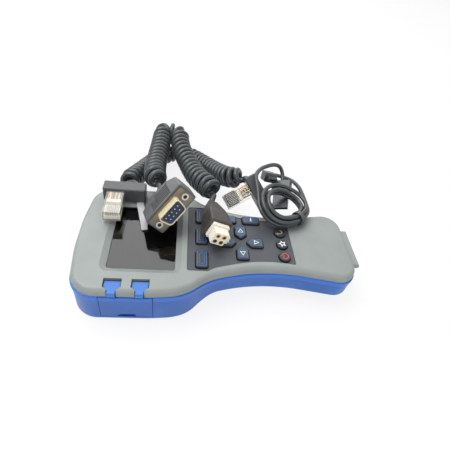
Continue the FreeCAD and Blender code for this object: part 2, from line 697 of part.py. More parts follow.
def front_shell():
    cap = softened(body_prism(RIM_STEP, PARTING_Z, FACE_Z), FACE_Z, FACE_EDGE)
    shell = cap.cut(body_prism(RIM_STEP + WALL, PARTING_Z - OVERLAP, INNER_FACE_Z))
    tab = box(HANDLE_END - TAB_ROOT, TAB_END, -TAB_WIDTH / 2, TAB_WIDTH / 2, PARTING_Z, PARTING_Z + TAB_THICK)
    tab = softened(tab, PARTING_Z + TAB_THICK, TAB_EDGE)
    window = rectangle_wire(along(SCREEN_X), 0, GLASS_LENGTH + 2 * WINDOW_LEDGE,
                            GLASS_WIDTH + 2 * WINDOW_LEDGE, BEZEL_CORNER)
    rim = SIDE - RIM_STEP
    shell = joined(
        shell, tab,
        prism(grown(window, FRAME_WALL + CLEARANCE), FRAME_Z, INNER_FACE_Z + OVERLAP),
        prism(grown(PANEL, FRAME_WALL), KEY_FLOOR_Z, INNER_FACE_Z + OVERLAP).common(cap),
        box(along(DOOR_START), DOOR_END, -rim, -TETHER_START + WALL, PARTING_Z,
            INNER_FACE_Z + OVERLAP).common(cap),
        *[rod(x, y, DISPLAY_Z, INNER_FACE_Z + OVERLAP, BOARD_BOSS_RADIUS) for x, y in BOSSES],
        *[rod(x, y, PARTING_Z, INNER_FACE_Z + OVERLAP, POST_RADIUS) for x, y, back in CASE_POSTS])
    opening = rectangle_wire(along(SCREEN_X), 0, GLASS_LENGTH, GLASS_WIDTH, BEZEL_CORNER)
    brim = rectangle_wire(along(SCREEN_X), 0, GLASS_LENGTH + 2 * BEZEL_SLOPE, GLASS_WIDTH + 2 * BEZEL_SLOPE,
                          BEZEL_CORNER + BEZEL_SLOPE)
    brim.translate(Vector(0, 0, FACE_Z))
    throat = opening.copy()
    throat.translate(Vector(0, 0, GLASS_Z + BEZEL_LAND))
    cuts = [
        Part.makeLoft([throat, brim], True, True),
        prism(opening, GLASS_Z - OVERLAP, GLASS_Z + BEZEL_LAND),
        prism(grown(window, CLEARANCE), FRAME_Z - OVERLAP, GLASS_Z),
        prism(PANEL, PANEL_Z, FACE_Z + OVERLAP)]
    cuts += [prism(grown(wire, KEY_GAP), KEY_FLOOR_Z - OVERLAP, FACE_Z) for wire in KEYS.values()]
    for x in TETHERS_X:
        pocket = prism(tether_wire(POCKET_GAP), POCKET_Z, FACE_Z + OVERLAP)
        slot = TETHER_NECK / 2 + POCKET_GAP
        mouth = box(-slot, slot, -WIDTH, HINGE_Y + HINGE_RADIUS + POCKET_GAP, PARTING_Z - OVERLAP, FACE_Z)
        for cut in (pocket, mouth):
            cut.translate(Vector(x, 0, 0))
            cuts.append(cut)
    cuts += [rod(x, y, DISPLAY_Z - OVERLAP, INNER_FACE_Z - OVERLAP, BOARD_SCREW_RADIUS + CLEARANCE / 2)
             for x, y in BOSSES]
    cuts += [rod(x, y, PARTING_Z - OVERLAP, INNER_FACE_Z - OVERLAP, CASE_SCREW_RADIUS + CLEARANCE / 2)
             for x, y, back in CASE_POSTS]
    return without(shell, *cuts).removeSplitter()


def key(wire):
    cap = softened(prism(wire, FLANGE_Z, KEY_TOP), KEY_TOP, KEY_EDGE)
    middle = Part.Face(wire).CenterOfMass
    flange = prism(grown(wire, FLANGE_WIDTH), FLANGE_Z, FLANGE_TOP)
    return joined(cap, flange, rod(middle.x, middle.y, STEM_Z, FLANGE_Z + OVERLAP, STEM_RADIUS))


def keypad_panel():
    holes = [prism(grown(wire, KEY_GAP), PANEL_Z - OVERLAP, PANEL_TOP + OVERLAP) for wire in KEYS.values()]
    return without(prism(grown(PANEL, -CLEARANCE), PANEL_Z, PANEL_TOP), *holes)


def dome_switches():
    middles = [Part.Face(wire).CenterOfMass for wire in KEYS.values()]
    return Part.Compound([rod(m.x, m.y, DISPLAY_Z, DISPLAY_Z + DOME_HEIGHT, DOME_RADIUS) for m in middles])


def screen_window():
    wire = rectangle_wire(along(SCREEN_X), 0, GLASS_LENGTH + 2 * WINDOW_LEDGE,
                          GLASS_WIDTH + 2 * WINDOW_LEDGE, BEZEL_CORNER)
    return prism(wire, FRAME_Z, GLASS_Z)


def display_module():
    length = GLASS_LENGTH + 2 * DISPLAY_BORDER
    width = GLASS_WIDTH + 2 * DISPLAY_BORDER
    return prism(rectangle_wire(along(SCREEN_X), 0, length, width, BEZEL_LAND), DISPLAY_Z, FRAME_Z)


def main_board():
    wire = mirrored_wire([
        (along(BOARD_START), -BOARD_HEAD_WIDTH / 2, BOARD_CORNER),
        (along(BOARD_STEP_X), -BOARD_HEAD_WIDTH / 2, BOARD_CORNER),
        (along(BOARD_STEP_X), -BOARD_GRIP_WIDTH / 2, BOARD_CORNER),
        (along(BOARD_END), -BOARD_GRIP_WIDTH / 2, BOARD_CORNER)])
    bore = BOARD_SCREW_RADIUS + CLEARANCE
    holes = [rod(x, y, BOARD_Z - OVERLAP, DISPLAY_Z + OVERLAP, bore) for x, y in BOSSES]
    return without(prism(wire, BOARD_Z, DISPLAY_Z), *holes)


def board_screws():
    screws = []
    for x, y in BOSSES:
        head = rod(x, y, BOARD_Z - BOARD_SCREW_HEAD_HEIGHT, BOARD_Z, BOARD_SCREW_HEAD)
        head = softened(head, BOARD_Z - BOARD_SCREW_HEAD_HEIGHT, BOARD_SCREW_HEAD_HEIGHT / 3)
        shank = rod(x, y, BOARD_Z - OVERLAP, INNER_FACE_Z - 2 * OVERLAP, BOARD_SCREW_RADIUS)
        screws.append(joined(head, shank))
    return Part.Compound(screws)


def case_screws():
    screws = []
    for x, y, back in CASE_POSTS:
        seat = back + COUNTERBORE_DEPTH
        head = rod(x, y, seat - CASE_SCREW_HEAD_HEIGHT, seat, CASE_SCREW_HEAD)
        head = softened(head, seat - CASE_SCREW_HEAD_HEIGHT, CASE_SCREW_HEAD_HEIGHT / 3)
        screws.append(joined(head, rod(x, y, seat - OVERLAP, PARTING_Z + SCREW_BITE, CASE_SCREW_RADIUS)))
    return Part.Compound(screws)


def port_door(solid):
    """The door is a piece of the wall itself, with the rim band along its top and a scoop for a finger."""
    panel = solid.common(door_room(DOOR_GAP)).common(box(HEAD_END, TAB_END, -WIDTH, 0, 0, DOOR_TOP))
    scoop_y = -WALL_Y - NOTCH_RADIUS + NOTCH_DEPTH
    scoop = Part.makeCylinder(NOTCH_RADIUS, NOTCH_HEIGHT, Vector(DOOR_MIDDLE, scoop_y, DOOR_BOTTOM))
    return panel.cut(scoop)


def door_tethers():
    """Two T-shaped anchors. Each neck bends over the rim to the round knuckle that the door turns on."""
    tethers = []
    for x in TETHERS_X:
        head = prism(tether_wire(0), POCKET_Z, POCKET_Z + TETHER_THICK)
        head = head.common(box(-TETHER_HEAD, TETHER_HEAD, HINGE_Y, 0, 0, FACE_Z))
        half = TETHER_NECK / 2
        knuckle = Part.makeCylinder(HINGE_RADIUS, TETHER_NECK, Vector(-half, HINGE_Y, HINGE_Z),
                                    Vector(1, 0, 0))
        strap = box(-half, half, HINGE_Y - HINGE_RADIUS, HINGE_Y + HINGE_RADIUS, HINGE_Z,
                    POCKET_Z + TETHER_THICK)
        corner = [e for e in strap.Edges if all(
            abs(v.Y - HINGE_Y + HINGE_RADIUS) < 1e-4 and v.Z > POCKET_Z for v in e.Vertexes)]
        tether = joined(head, knuckle, strap.makeFillet(HINGE_RADIUS, corner))
        tether.translate(Vector(x, 0, 0))
        tethers.append(tether)
    return Part.Compound(tethers)


def io_board():
    return box(DOOR_MIDDLE - IO_BOARD_LENGTH / 2, DOOR_MIDDLE + IO_BOARD_LENGTH / 2,
               IO_BOARD_Y, IO_BOARD_Y + IO_BOARD_DEPTH, IO_BOARD_Z, IO_BOARD_Z + BOARD_THICK)


def usb_socket():
    body = usb_socket_box(0)
    width, depth, height = USB_SOCKET
    bottom = IO_BOARD_Z + BOARD_THICK
    wall = USB_SOCKET_WALL
    mouth = box(DOOR_MIDDLE - width / 2 + wall, DOOR_MIDDLE + width / 2 - wall, BAY_BACK - OVERLAP,
                BAY_BACK + depth - 2 * wall, bottom + wall, bottom + height - wall)
    tongue = box(DOOR_MIDDLE - width / 4, DOOR_MIDDLE + width / 4, BAY_BACK + wall, BAY_BACK + depth,
                 bottom + height / 2 - wall, bottom + height / 2 + wall)
    return joined(body.cut(mouth), tongue)


def card_slot():
    width, height = CARD_MOUTH
    middle = IO_BOARD_Z - CARD_SLOT[2] / 2
    mouth = box(DOOR_MIDDLE - width / 2, DOOR_MIDDLE + width / 2, BAY_BACK - OVERLAP,
                BAY_BACK + CARD_SLOT[1] - USB_SOCKET_WALL, middle - height / 2, middle + height / 2)
    return card_slot_box(0).cut(mouth)


def modular_jack():
    front = HANDLE_END - END_BOW
    floor = HANDLE_LIFT + WALL
    middle = floor + JACK[2] / 2
    width, height = JACK_MOUTH
    latch_width, latch_height = JACK_LATCH
    mouth = box(front - JACK_DEPTH, front + OVERLAP, -width / 2, width / 2,
                middle - height / 2, middle + height / 2)
    latch = box(front - JACK_DEPTH, front + OVERLAP, -latch_width / 2, latch_width / 2,
                middle - height / 2 - latch_height, middle)
    return without(jack_box(0), mouth, latch)


def battery_cover():
    cover = prism(cover_wire(0), 0, COVER_THICK)
    sinks = []
    for x, y in COVER_SCREWS:
        sinks.append(rod(x, y, -OVERLAP, COVER_THICK + OVERLAP, COVER_SCREW_RADIUS + CLEARANCE))
        sinks.append(rod(x, y, -OVERLAP, COVER_SCREW_HEAD_HEIGHT, COVER_SCREW_HEAD + CLEARANCE))
    return without(cover, *sinks)


def cover_screws():
    screws = []
    for x, y in COVER_SCREWS:
        head = rod(x, y, CLEARANCE, COVER_SCREW_HEAD_HEIGHT, COVER_SCREW_HEAD)
        shank = rod(x, y, CLEARANCE, COVER_POST_HEIGHT - WALL - OVERLAP, COVER_SCREW_RADIUS)
        screws.append(joined(head, shank))
    return Part.Compound(screws)


def cell_rows():
    """Each cell's place along the bay and the way its nub points."""
    first = along(BATTERY_X) - CELL_PITCH * (CELL_COUNT - 1) / 2
    return [(first + i * CELL_PITCH, 1 if i % 2 else -1) for i in range(CELL_COUNT)]


def battery_cells():
    cells = []
    for x, way in cell_rows():
        direction = Vector(0, way, 0)
        start = Vector(x, BATTERY_Y - way * (CELL_LENGTH + CELL_NUB) / 2, CELL_Z)
        can = Part.makeCylinder(CELL_RADIUS, CELL_LENGTH, start, direction)
        can = can.makeFillet(CLEARANCE * 2, [e for e in can.Edges if e.Closed])
        nub = Part.makeCylinder(CELL_NUB_RADIUS, CELL_NUB + OVERLAP,
                                start + direction * (CELL_LENGTH - OVERLAP), direction)
        cells.append(joined(can, nub))
    return Part.Compound(cells)


def battery_contacts():
    """A flat plate at each nub and a plate with a blunt spring cone at each flat end."""
    contacts = []
    thick = CONTACT_ROOM / 3
    for x, way in cell_rows():
        for end in (-1, 1):
            wall = BATTERY_Y + end * (BATTERY_WIDTH / 2 - thick / 2)
            plate = box(x - CELL_RADIUS + CELL_GAP, x + CELL_RADIUS - CELL_GAP,
                        wall - thick / 2, wall + thick / 2,
                        CELL_Z - CELL_RADIUS + CELL_GAP, CELL_Z + CELL_RADIUS - CELL_GAP)
            if end != way:
                tip = Vector(x, BATTERY_Y + end * (BATTERY_WIDTH / 2 - thick), CELL_Z)
                cone = Part.makeCone(CELL_RADIUS / 2, CELL_NUB_RADIUS, thick, tip, Vector(0, -end, 0))
                plate = joined(plate, cone)
            contacts.append(plate)
    return Part.Compound(contacts)


def lead_block():
    """The moulded end that goes over the handset's socket, with its plug near one end."""
    body = box(-BLOCK_DEPTH, 0, -BLOCK_SIDE, BLOCK_WIDTH - BLOCK_SIDE, -BLOCK_HEIGHT / 2, BLOCK_HEIGHT / 2)
    return body.makeFillet(BLOCK_EDGE, body.Edges)


def clear_plug():
    """The clear eight-way plug, from the face of its block to its tip, with the latch below."""
    half = PLUG_HEIGHT / 2
    body = box(0, PLUG_REACH, -PLUG_WIDTH / 2, PLUG_WIDTH / 2, -half, half)
    body = body.makeFillet(PLUG_EDGE, [e for e in body.Edges if all(v.X > OVERLAP for v in e.Vertexes)])
    points = [(PLUG_REACH - PLUG_EDGE, -half + OVERLAP), (PLUG_REACH - PLUG_EDGE, -half - LATCH_THICK / 2),
              (PLUG_REACH / 4, -half - LATCH_DROP), (OVERLAP, -half - LATCH_DROP),
              (OVERLAP, -half - LATCH_DROP + LATCH_THICK), (PLUG_REACH / 4, -half - LATCH_DROP + LATCH_THICK),
              (PLUG_REACH - PLUG_EDGE - LATCH_THICK * 2, -half + OVERLAP)]
    vectors = [Vector(x, -LATCH_WIDTH / 2, z) for x, z in points]
    latch = Part.Face(Part.makePolygon(vectors + vectors[:1])).extrude(Vector(0, LATCH_WIDTH, 0))
    return joined(body, latch)


def shell_wire(margin):
    """The D outline of the nine-way connector, wide at the top."""
    wide = SHELL_WIDE / 2 + margin
    narrow = SHELL_NARROW / 2 + margin
    half = SHELL_HEIGHT / 2 + margin
    corner = SHELL_CORNER + margin
    return rounded_wire([(-narrow, -half, corner), (narrow, -half, corner),
                         (wide, half, corner), (-wide, half, corner)])


def nine_way_plate():
    plate = bar(rectangle_wire(0, 0, *PLATE, PLATE_CORNER), -PLATE_THICK, 0)
    shell = bar(shell_wire(0), -PLATE_THICK, SHELL_REACH)
    hollow = bar(shell_wire(-SHELL_WALL), -PLATE_THICK - OVERLAP, SHELL_REACH + OVERLAP)
    holes = [Part.makeCylinder(NUT_BORE, 2 * PLATE_THICK,
                               Vector(-PLATE_THICK - OVERLAP, side * NUT_SPREAD / 2, 0),
                               Vector(1, 0, 0)) for side in (-1, 1)]
    return without(joined(plate, shell), hollow, *holes)


def nine_way_insulator():
    body = bar(shell_wire(-SHELL_WALL), -PLATE_THICK, SHELL_REACH - SHELL_WALL)
    holes = []
    for count, z in ((5, PIN_ROW / 2), (4, -PIN_ROW / 2)):
        for i in range(count):
            y = (i - (count - 1) / 2) * PIN_PITCH
            mouth = Vector(SHELL_REACH, y, z)
            holes.append(Part.makeCylinder(PIN_RADIUS, PIN_DEPTH, mouth, Vector(-1, 0, 0)))
    return without(body, *holes)


def nine_way_nuts():
    nuts = []
    for side in (-1, 1):
        start = Vector(0, side * NUT_SPREAD / 2, 0)
        nut = Part.makeCylinder(NUT_RADIUS, NUT_HEIGHT, start, Vector(1, 0, 0))
        bore = Part.makeCylinder(NUT_BORE, NUT_HEIGHT + OVERLAP, start, Vector(1, 0, 0))
        nuts.append(nut.cut(bore))
    return Part.Compound(nuts)


def nine_way_hood():
    """The moulded hood: full width behind the plate, tapering to the strain relief, with grip grooves."""
    width = PLATE[0] + 2 * HOOD_MARGIN
    height = PLATE[1] + 2 * HOOD_MARGIN
    front = rectangle_wire(0, 0, width, height, PLATE_CORNER)
    tail = rectangle_wire(0, 0, *HOOD_TAIL, PLATE_CORNER)
    waist = -PLATE_THICK - HOOD_DEPTH
    end = waist - HOOD_TAPER
    straight = bar(front, waist, -PLATE_THICK)
    grooves = []
    for i in range(HOOD_GRIPS):
        x = waist + GRIP_PITCH * (i + 1)
        for side in (-1, 1):
            z = side * height / 2
            grooves.append(box(x, x + GRIP_PITCH / 2, -width / 4, width / 4, z - GRIP_CUT, z + GRIP_CUT))
    relief = Part.makeCone(RELIEF_ROOT, RELIEF_END, RELIEF_LENGTH, Vector(end, 0, 0), Vector(-1, 0, 0))
    return joined(without(straight, *grooves), tapered_bar(tail, end, front, waist), relief)


def four_way_housing():
    """The white two-by-two housing, with its skirted rear, four bores and the latch on one side."""
    width, height = FOUR_WAY
    body = bar(rectangle_wire(0, 0, width, height, PLUG_EDGE), -FOUR_WAY_LENGTH, 0)
    skirt = bar(rectangle_wire(0, 0, width + 2 * FOUR_WAY_SKIRT, height + 2 * FOUR_WAY_SKIRT, PLUG_EDGE),
                -FOUR_WAY_LENGTH, -FOUR_WAY_LENGTH + FOUR_WAY_SKIRT_LENGTH)
    latch_width, latch_thick, latch_length = FOUR_WAY_LATCH
    latch = box(-FOUR_WAY_LENGTH, -FOUR_WAY_LENGTH + latch_length,
                width / 2 - OVERLAP, width / 2 + latch_thick,
                -latch_width / 2, latch_width / 2)
    bores = []
    for y in (-1, 1):
        for z in (-1, 1):
            start = Vector(OVERLAP, y * FOUR_WAY_PITCH / 2, z * FOUR_WAY_PITCH / 2)
            bores.append(Part.makeCylinder(FOUR_WAY_BORE, FOUR_WAY_BORE_DEPTH, start, Vector(-1, 0, 0)))
    return without(joined(body, skirt, latch), *bores)


def four_way_boot():
    root = rectangle_wire(0, 0, *BOOT_ROOT, KEY_CORNER)
    tail = rectangle_wire(0, 0, *BOOT_TAIL, KEY_CORNER)
    return tapered_bar(tail, -FOUR_WAY_LENGTH - BOOT_LENGTH, root, -FOUR_WAY_LENGTH)


def usb_mould(size):
    width, height, length = size
    body = bar(rectangle_wire(0, 0, width, height, USB_EDGE), -length, 0)
    back_edges = [e for e in body.Edges if all(v.X < -length + 1e-4 for v in e.Vertexes)]
    return body.makeFillet(USB_EDGE / 2, back_edges)


def usb_shell(size):
    width, height, length = size
    outside = bar(rectangle_wire(0, 0, width, height, USB_EDGE / 2), 0, length)
    inside = bar(rectangle_wire(0, 0, width - 2 * USB_SHELL_WALL, height - 2 * USB_SHELL_WALL, USB_EDGE / 4),
                 0, length + OVERLAP)
    tongue = box(0, length - OVERLAP, -width / 2 + USB_EDGE, width / 2 - USB_EDGE,
                 0, height / 2 - USB_SHELL_WALL)
    return joined(outside.cut(inside), tongue)


def leaving(place, x, y, z):
    """A point on the back of a lead end and the way a cord leaves there."""
    return place_point(place, x, y, z), Vector(place[1]).normalize() * -1


def route_end(route):
    """The first point of a route and the way that leads out of it."""
    return Vector(*route[0]), (Vector(*route[0]) - Vector(*route[1])).normalize()


def hank_side(run, way):
    """A point on the surface of the wound cord, in the middle of one run, and the way out of it."""
    a = Vector(*HANK_ROUTE[run])
    b = Vector(*HANK_ROUTE[(run + 1) % len(HANK_ROUTE)])
    along = (b - a).normalize()
    out = (way - along * along.dot(way)).normalize()
    return (a + b) / 2 + out * (HANK_DIAMETER / 2), out


def link(name, first, middle, last, diameter, reach=LINK_REACH):
    """A short cord that leaves both of its ends squarely."""
    start, start_way = first
    end, end_way = last
    route = [start, start + start_way * reach, *middle, end + end_way * reach, end]
    return cord_tube(name, route, diameter)


def usb_tie():
    """A band round the wound cord, square to the straight run that it holds."""
    a = Vector(*HANK_ROUTE[1])
    b = Vector(*HANK_ROUTE[2])
    along = (b - a).normalize()
    start = (a + b) / 2 - along * (TIE_WIDTH / 2)
    outer = Part.makeCylinder(HANK_DIAMETER / 2 + TIE_THICK, TIE_WIDTH, start, along)
    return outer.cut(usb_hank())


def usb_hank():
    return cord_tube("usb_lead_hank", HANK_ROUTE, HANK_DIAMETER, closed=True)


def build():
    solid = back_solid()
    nodes = {
        "front_shell": front_shell(), "back_shell": back_shell(solid),
        "perimeter_seal": seal_ring(0, PARTING_Z),
        "screen_window": screen_window(), "display_module": display_module(), "keypad_panel": keypad_panel(),
        "main_board": main_board(), "dome_switches": dome_switches(), "board_screws": board_screws(),
        "case_screws": case_screws(), "port_door": port_door(solid), "door_tethers": door_tethers(),
        "io_board": io_board(), "usb_socket": usb_socket(), "card_slot": card_slot(),
        "modular_jack": modular_jack(),
        "battery_cover": battery_cover(), "cover_screws": cover_screws(), "battery_cells": battery_cells(),
        "battery_contacts": battery_contacts()}
    for name, wire in KEYS.items():
        nodes[name] = key(wire)
    for letter, place in (("a", BLOCK_A_PLACE), ("b", BLOCK_B_PLACE)):
        nodes["lead_" + letter + "_block"] = placed(lead_block(), place)
        nodes["lead_" + letter + "_plug"] = placed(clear_plug(), place)
    nodes["lead_a_plate"] = placed(nine_way_plate(), NINE_WAY_PLACE)
    nodes["lead_a_insulator"] = placed(nine_way_insulator(), NINE_WAY_PLACE)
    nodes["lead_a_nuts"] = placed(nine_way_nuts(), NINE_WAY_PLACE)
    nodes["lead_a_hood"] = placed(nine_way_hood(), NINE_WAY_PLACE)
    nodes["lead_b_housing"] = placed(four_way_housing(), FOUR_WAY_PLACE)
    nodes["lead_b_boot"] = placed(four_way_boot(), FOUR_WAY_PLACE)
    nodes["lead_a_coil"] = cord_tube("lead_a_coil", COIL_A_ROUTE, COIL_DIAMETER)
    nodes["lead_b_coil"] = cord_tube("lead_b_coil", COIL_B_ROUTE, COIL_DIAMETER)
    hood_back = -PLATE_THICK - HOOD_DEPTH - HOOD_TAPER - RELIEF_LENGTH
    boot_back = -FOUR_WAY_LENGTH - BOOT_LENGTH
    nodes["lead_a_neck"] = link("lead_a_neck", leaving(NINE_WAY_PLACE, hood_back, 0, 0), (),
                                route_end(COIL_A_ROUTE), CORD_DIAMETER, NECK_REACH)
    nodes["lead_b_neck"] = link("lead_b_neck", leaving(FOUR_WAY_PLACE, boot_back, 0, 0), (),
                                route_end(COIL_A_ROUTE[::-1]), CORD_DIAMETER, NECK_REACH)
    nodes["lead_a_tail"] = link("lead_a_tail", leaving(BLOCK_A_PLACE, -BLOCK_DEPTH, *BLOCK_A_ENTRY),
                                TAIL_A_ROUTE, route_end(COIL_B_ROUTE), CORD_DIAMETER)
    coil_end, way = route_end(COIL_B_ROUTE[::-1])
    block_heart = place_point(BLOCK_B_PLACE, -BLOCK_DEPTH / 2, -BLOCK_B_ENTRY, 0)
    nodes["lead_b_tail"] = cord_tube("lead_b_tail", [coil_end, coil_end + way * LINK_REACH, block_heart],
                                     CORD_DIAMETER)
    nodes["usb_lead_hank"] = usb_hank()
    nodes["usb_lead_tie"] = usb_tie()
    nodes["usb_a_mould"] = placed(usb_mould(USB_A_MOULD), USB_A_PLACE)
    nodes["usb_a_shell"] = placed(usb_shell(USB_A_SHELL), USB_A_PLACE)
    nodes["usb_mini_mould"] = placed(usb_mould(USB_MINI_MOULD), USB_MINI_PLACE)
    nodes["usb_mini_shell"] = placed(usb_shell(USB_MINI_SHELL), USB_MINI_PLACE)
    nodes["usb_a_tail"] = link("usb_a_tail", hank_side(7, Vector(-0.8, 0.5, 0.4)), USB_A_TAIL_ROUTE,
                               leaving(USB_A_PLACE, -USB_A_MOULD[2], 0, 0), USB_CORD_DIAMETER)
    nodes["usb_mini_tail"] = link("usb_mini_tail", hank_side(4, Vector(0.5, 0.8, 0.2)), USB_MINI_TAIL_ROUTE,
                                  leaving(USB_MINI_PLACE, -USB_MINI_MOULD[2], 0, 0), USB_CORD_DIAMETER)
    return nodes


def main():
    os.makedirs("parts", exist_ok=True)
    for name, shape in build().items():
        shape.exportStep("parts/" + name + ".step")
        print(name, "solids", len(shape.Solids), "valid", shape.isValid(), "volume", round(shape.Volume, 1))


main()
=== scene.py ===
# %% [markdown]
# # A handheld programmer and its three leads
# The object lies on its back on a white table: a grey and blue handset with a sunken screen and a keypad,
# and three leads that were dropped on top of it. The hard pieces come from a CAD model that is loaded as
# a fixed frame. Blender adds what CAD leaves plain: the curled and wound cords, the marks on the keys,
# the wires inside the clear plugs, the fine shape of the connectors, and a finish for every surface.

import math

import bmesh
import bpy
import numpy as np
from mathutils import Matrix, Vector


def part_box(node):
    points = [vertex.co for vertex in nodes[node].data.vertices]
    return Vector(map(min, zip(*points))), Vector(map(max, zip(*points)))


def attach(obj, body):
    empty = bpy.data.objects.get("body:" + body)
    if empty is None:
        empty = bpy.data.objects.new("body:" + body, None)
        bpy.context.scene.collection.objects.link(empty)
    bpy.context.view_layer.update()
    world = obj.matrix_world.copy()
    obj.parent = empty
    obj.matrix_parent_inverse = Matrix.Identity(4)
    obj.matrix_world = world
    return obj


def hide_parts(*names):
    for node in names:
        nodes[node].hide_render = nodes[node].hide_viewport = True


MM = 0.001
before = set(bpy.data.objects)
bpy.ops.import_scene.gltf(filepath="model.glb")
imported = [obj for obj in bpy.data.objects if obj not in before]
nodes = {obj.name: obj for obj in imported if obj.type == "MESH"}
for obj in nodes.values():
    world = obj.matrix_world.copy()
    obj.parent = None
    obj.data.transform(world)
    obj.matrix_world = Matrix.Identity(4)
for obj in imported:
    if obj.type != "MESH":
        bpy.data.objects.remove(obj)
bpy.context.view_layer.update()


def metres(points):
    """Points that are written in millimetres, as vectors in metres."""
    return [Vector(p) * MM for p in points]


# %% [markdown]
# ## The camera
# The photograph was taken from close by, from above the near side of the handset, so perspective is
# strong. A camera is placed by its three axes instead of by angles, because that is exact: the columns of
# its matrix are its right, its up and the way behind it.

# %% Camera
CAMERA_PLACE = Vector((-0.03143, -0.16320, 0.20669))
CAMERA_RIGHT = Vector((0.9892, -0.0536, 0.1361))
CAMERA_UP = Vector((-0.0579, 0.7111, 0.7007))
CAMERA_BACK = Vector((-0.1344, -0.7011, 0.7003))
CAMERA_LENS = 28.118
CAMERA_SENSOR = 36.0
camera_data = bpy.data.cameras.new("photo_camera")
camera_data.lens = CAMERA_LENS
camera_data.sensor_width = CAMERA_SENSOR
camera_data.clip_start = 0.01
camera = bpy.data.objects.new("photo_camera", camera_data)
bpy.context.scene.collection.objects.link(camera)
turn = Matrix((CAMERA_RIGHT, CAMERA_UP, CAMERA_BACK)).transposed().to_4x4()
camera.matrix_world = Matrix.Translation(CAMERA_PLACE) @ turn
bpy.context.scene.camera = camera
bpy.context.scene.view_settings.view_transform = "Standard"
print("camera looks along", -CAMERA_BACK)

# %% [markdown]
# ## Colours and small node helpers
# Colours are easier to judge as the 0 to 255 numbers of a picture, but shaders work with linear light, so
# one function converts them. The others start a material, make a node group that other materials can
# share, and connect such a group to a material's shader. A Mix node has sockets for every kind of value,
# and the three numbers are those for colours.

# %% Helpers for materials
MIX_FIRST = 6
MIX_SECOND = 7
MIX_RESULT = 2
COLOUR = "NodeSocketColor"
NUMBER = "NodeSocketFloat"


def tone(red, green, blue):
    """A picture colour as linear light, by the sRGB curve: a straight foot, then a power."""
    linear = []
    for value in (red, green, blue):
        share = value / 255
        linear.append(share / 12.92 if share <= 0.04045 else ((share + 0.055) / 1.055) ** 2.4)
    return (*linear, 1.0)


def blank_material(name):
    """A new material, its node tree and its Principled shader."""
    material = bpy.data.materials.new(name)
    material.use_nodes = True
    return material, material.node_tree, material.node_tree.nodes["Principled BSDF"]


def finish_group(name, inputs):
    """A node group that takes these inputs and puts out a colour, a roughness and a height."""
    group = bpy.data.node_groups.new(name, "ShaderNodeTree")
    for label, kind, value in inputs:
        socket = group.interface.new_socket(label, in_out="INPUT", socket_type=kind)
        socket.default_value = value
    for label, kind in (("Colour", COLOUR), ("Roughness", NUMBER), ("Height", NUMBER)):
        group.interface.new_socket(label, in_out="OUTPUT", socket_type=kind)
    return group


def put_on(tree, shader, group, values, strength, depth):
    """Feeds a shader from a finish group with these values, and turns the group's height into a bump."""
    finish = tree.nodes.new("ShaderNodeGroup")
    finish.node_tree = group
    for label, value in values.items():
        finish.inputs[label].default_value = value
    bump = tree.nodes.new("ShaderNodeBump")
    bump.inputs["Strength"].default_value = strength
    bump.inputs["Distance"].default_value = depth
    tree.links.new(finish.outputs["Colour"], shader.inputs["Base Color"])
    tree.links.new(finish.outputs["Roughness"], shader.inputs["Roughness"])
    tree.links.new(finish.outputs["Height"], bump.inputs["Height"])
    tree.links.new(bump.outputs["Normal"], shader.inputs["Normal"])


# %% [markdown]
# ## The table and the light
# A light tent is a bright box: light comes from everywhere, with a little more from above. A white world
# gives the even part and three large lamps give the direction. The table shows white to the camera and
# keeps a faint shadow, because only part of what the camera sees there is real light.

# %% Table, world and lamps
WHITE = (1, 1, 1, 1)
TABLE_REACH = 4.0
TABLE_TONE = (0.86, 0.86, 0.86, 1)
TABLE_GLOW = 0.84
TENT_LIGHT = 0.5
# Name, place, the point that the lamp looks at, size in metres and power in watts
LAMPS = (
    ("tent_top", (-0.4, 0.1, 0.9), (0, 0.02, 0.02), 0.6, 7.0),
    ("tent_back", (-0.1, 1.0, 0.95), (0, 0.02, 0.02), 1.4, 10.0),
    ("tent_front", (0.1, -0.9, 0.4), (0, 0, 0.02), 0.7, 2.0),
)


def seen_directly(tree):
    """A mask that is 1 for what the camera, a mirror or a clear piece shows."""
    path = tree.nodes.new("ShaderNodeLightPath")
    mask = path.outputs["Is Camera Ray"]
    for ray in ("Is Glossy Ray", "Is Transmission Ray"):
        larger = tree.nodes.new("ShaderNodeMath")
        larger.operation = "MAXIMUM"
        tree.links.new(mask, larger.inputs[0])
        tree.links.new(path.outputs[ray], larger.inputs[1])
        mask = larger.outputs[0]
    return mask


table_mesh = bpy.data.meshes.new("table_top")
shape = bmesh.new()
bmesh.ops.create_grid(shape, x_segments=4, y_segments=4, size=TABLE_REACH)
shape.to_mesh(table_mesh)
shape.free()
table = bpy.data.objects.new("table_top", table_mesh)
bpy.context.scene.collection.objects.link(table)
paper, tree, shader = blank_material("white_table")
shader.inputs["Base Color"].default_value = TABLE_TONE
shader.inputs["Roughness"].default_value = 0.9
glow = tree.nodes.new("ShaderNodeEmission")
glow.inputs["Strength"].default_value = 1.0
glow_part = tree.nodes.new("ShaderNodeMath")
glow_part.operation = "MULTIPLY"
glow_part.inputs[1].default_value = TABLE_GLOW
blend_in = tree.nodes.new("ShaderNodeMixShader")
tree.links.new(seen_directly(tree), glow_part.inputs[0])
tree.links.new(glow_part.outputs[0], blend_in.inputs[0])
tree.links.new(shader.outputs[0], blend_in.inputs[1])
tree.links.new(glow.outputs[0], blend_in.inputs[2])
tree.links.new(blend_in.outputs[0], tree.nodes["Material Output"].inputs["Surface"])
table_mesh.materials.append(paper)

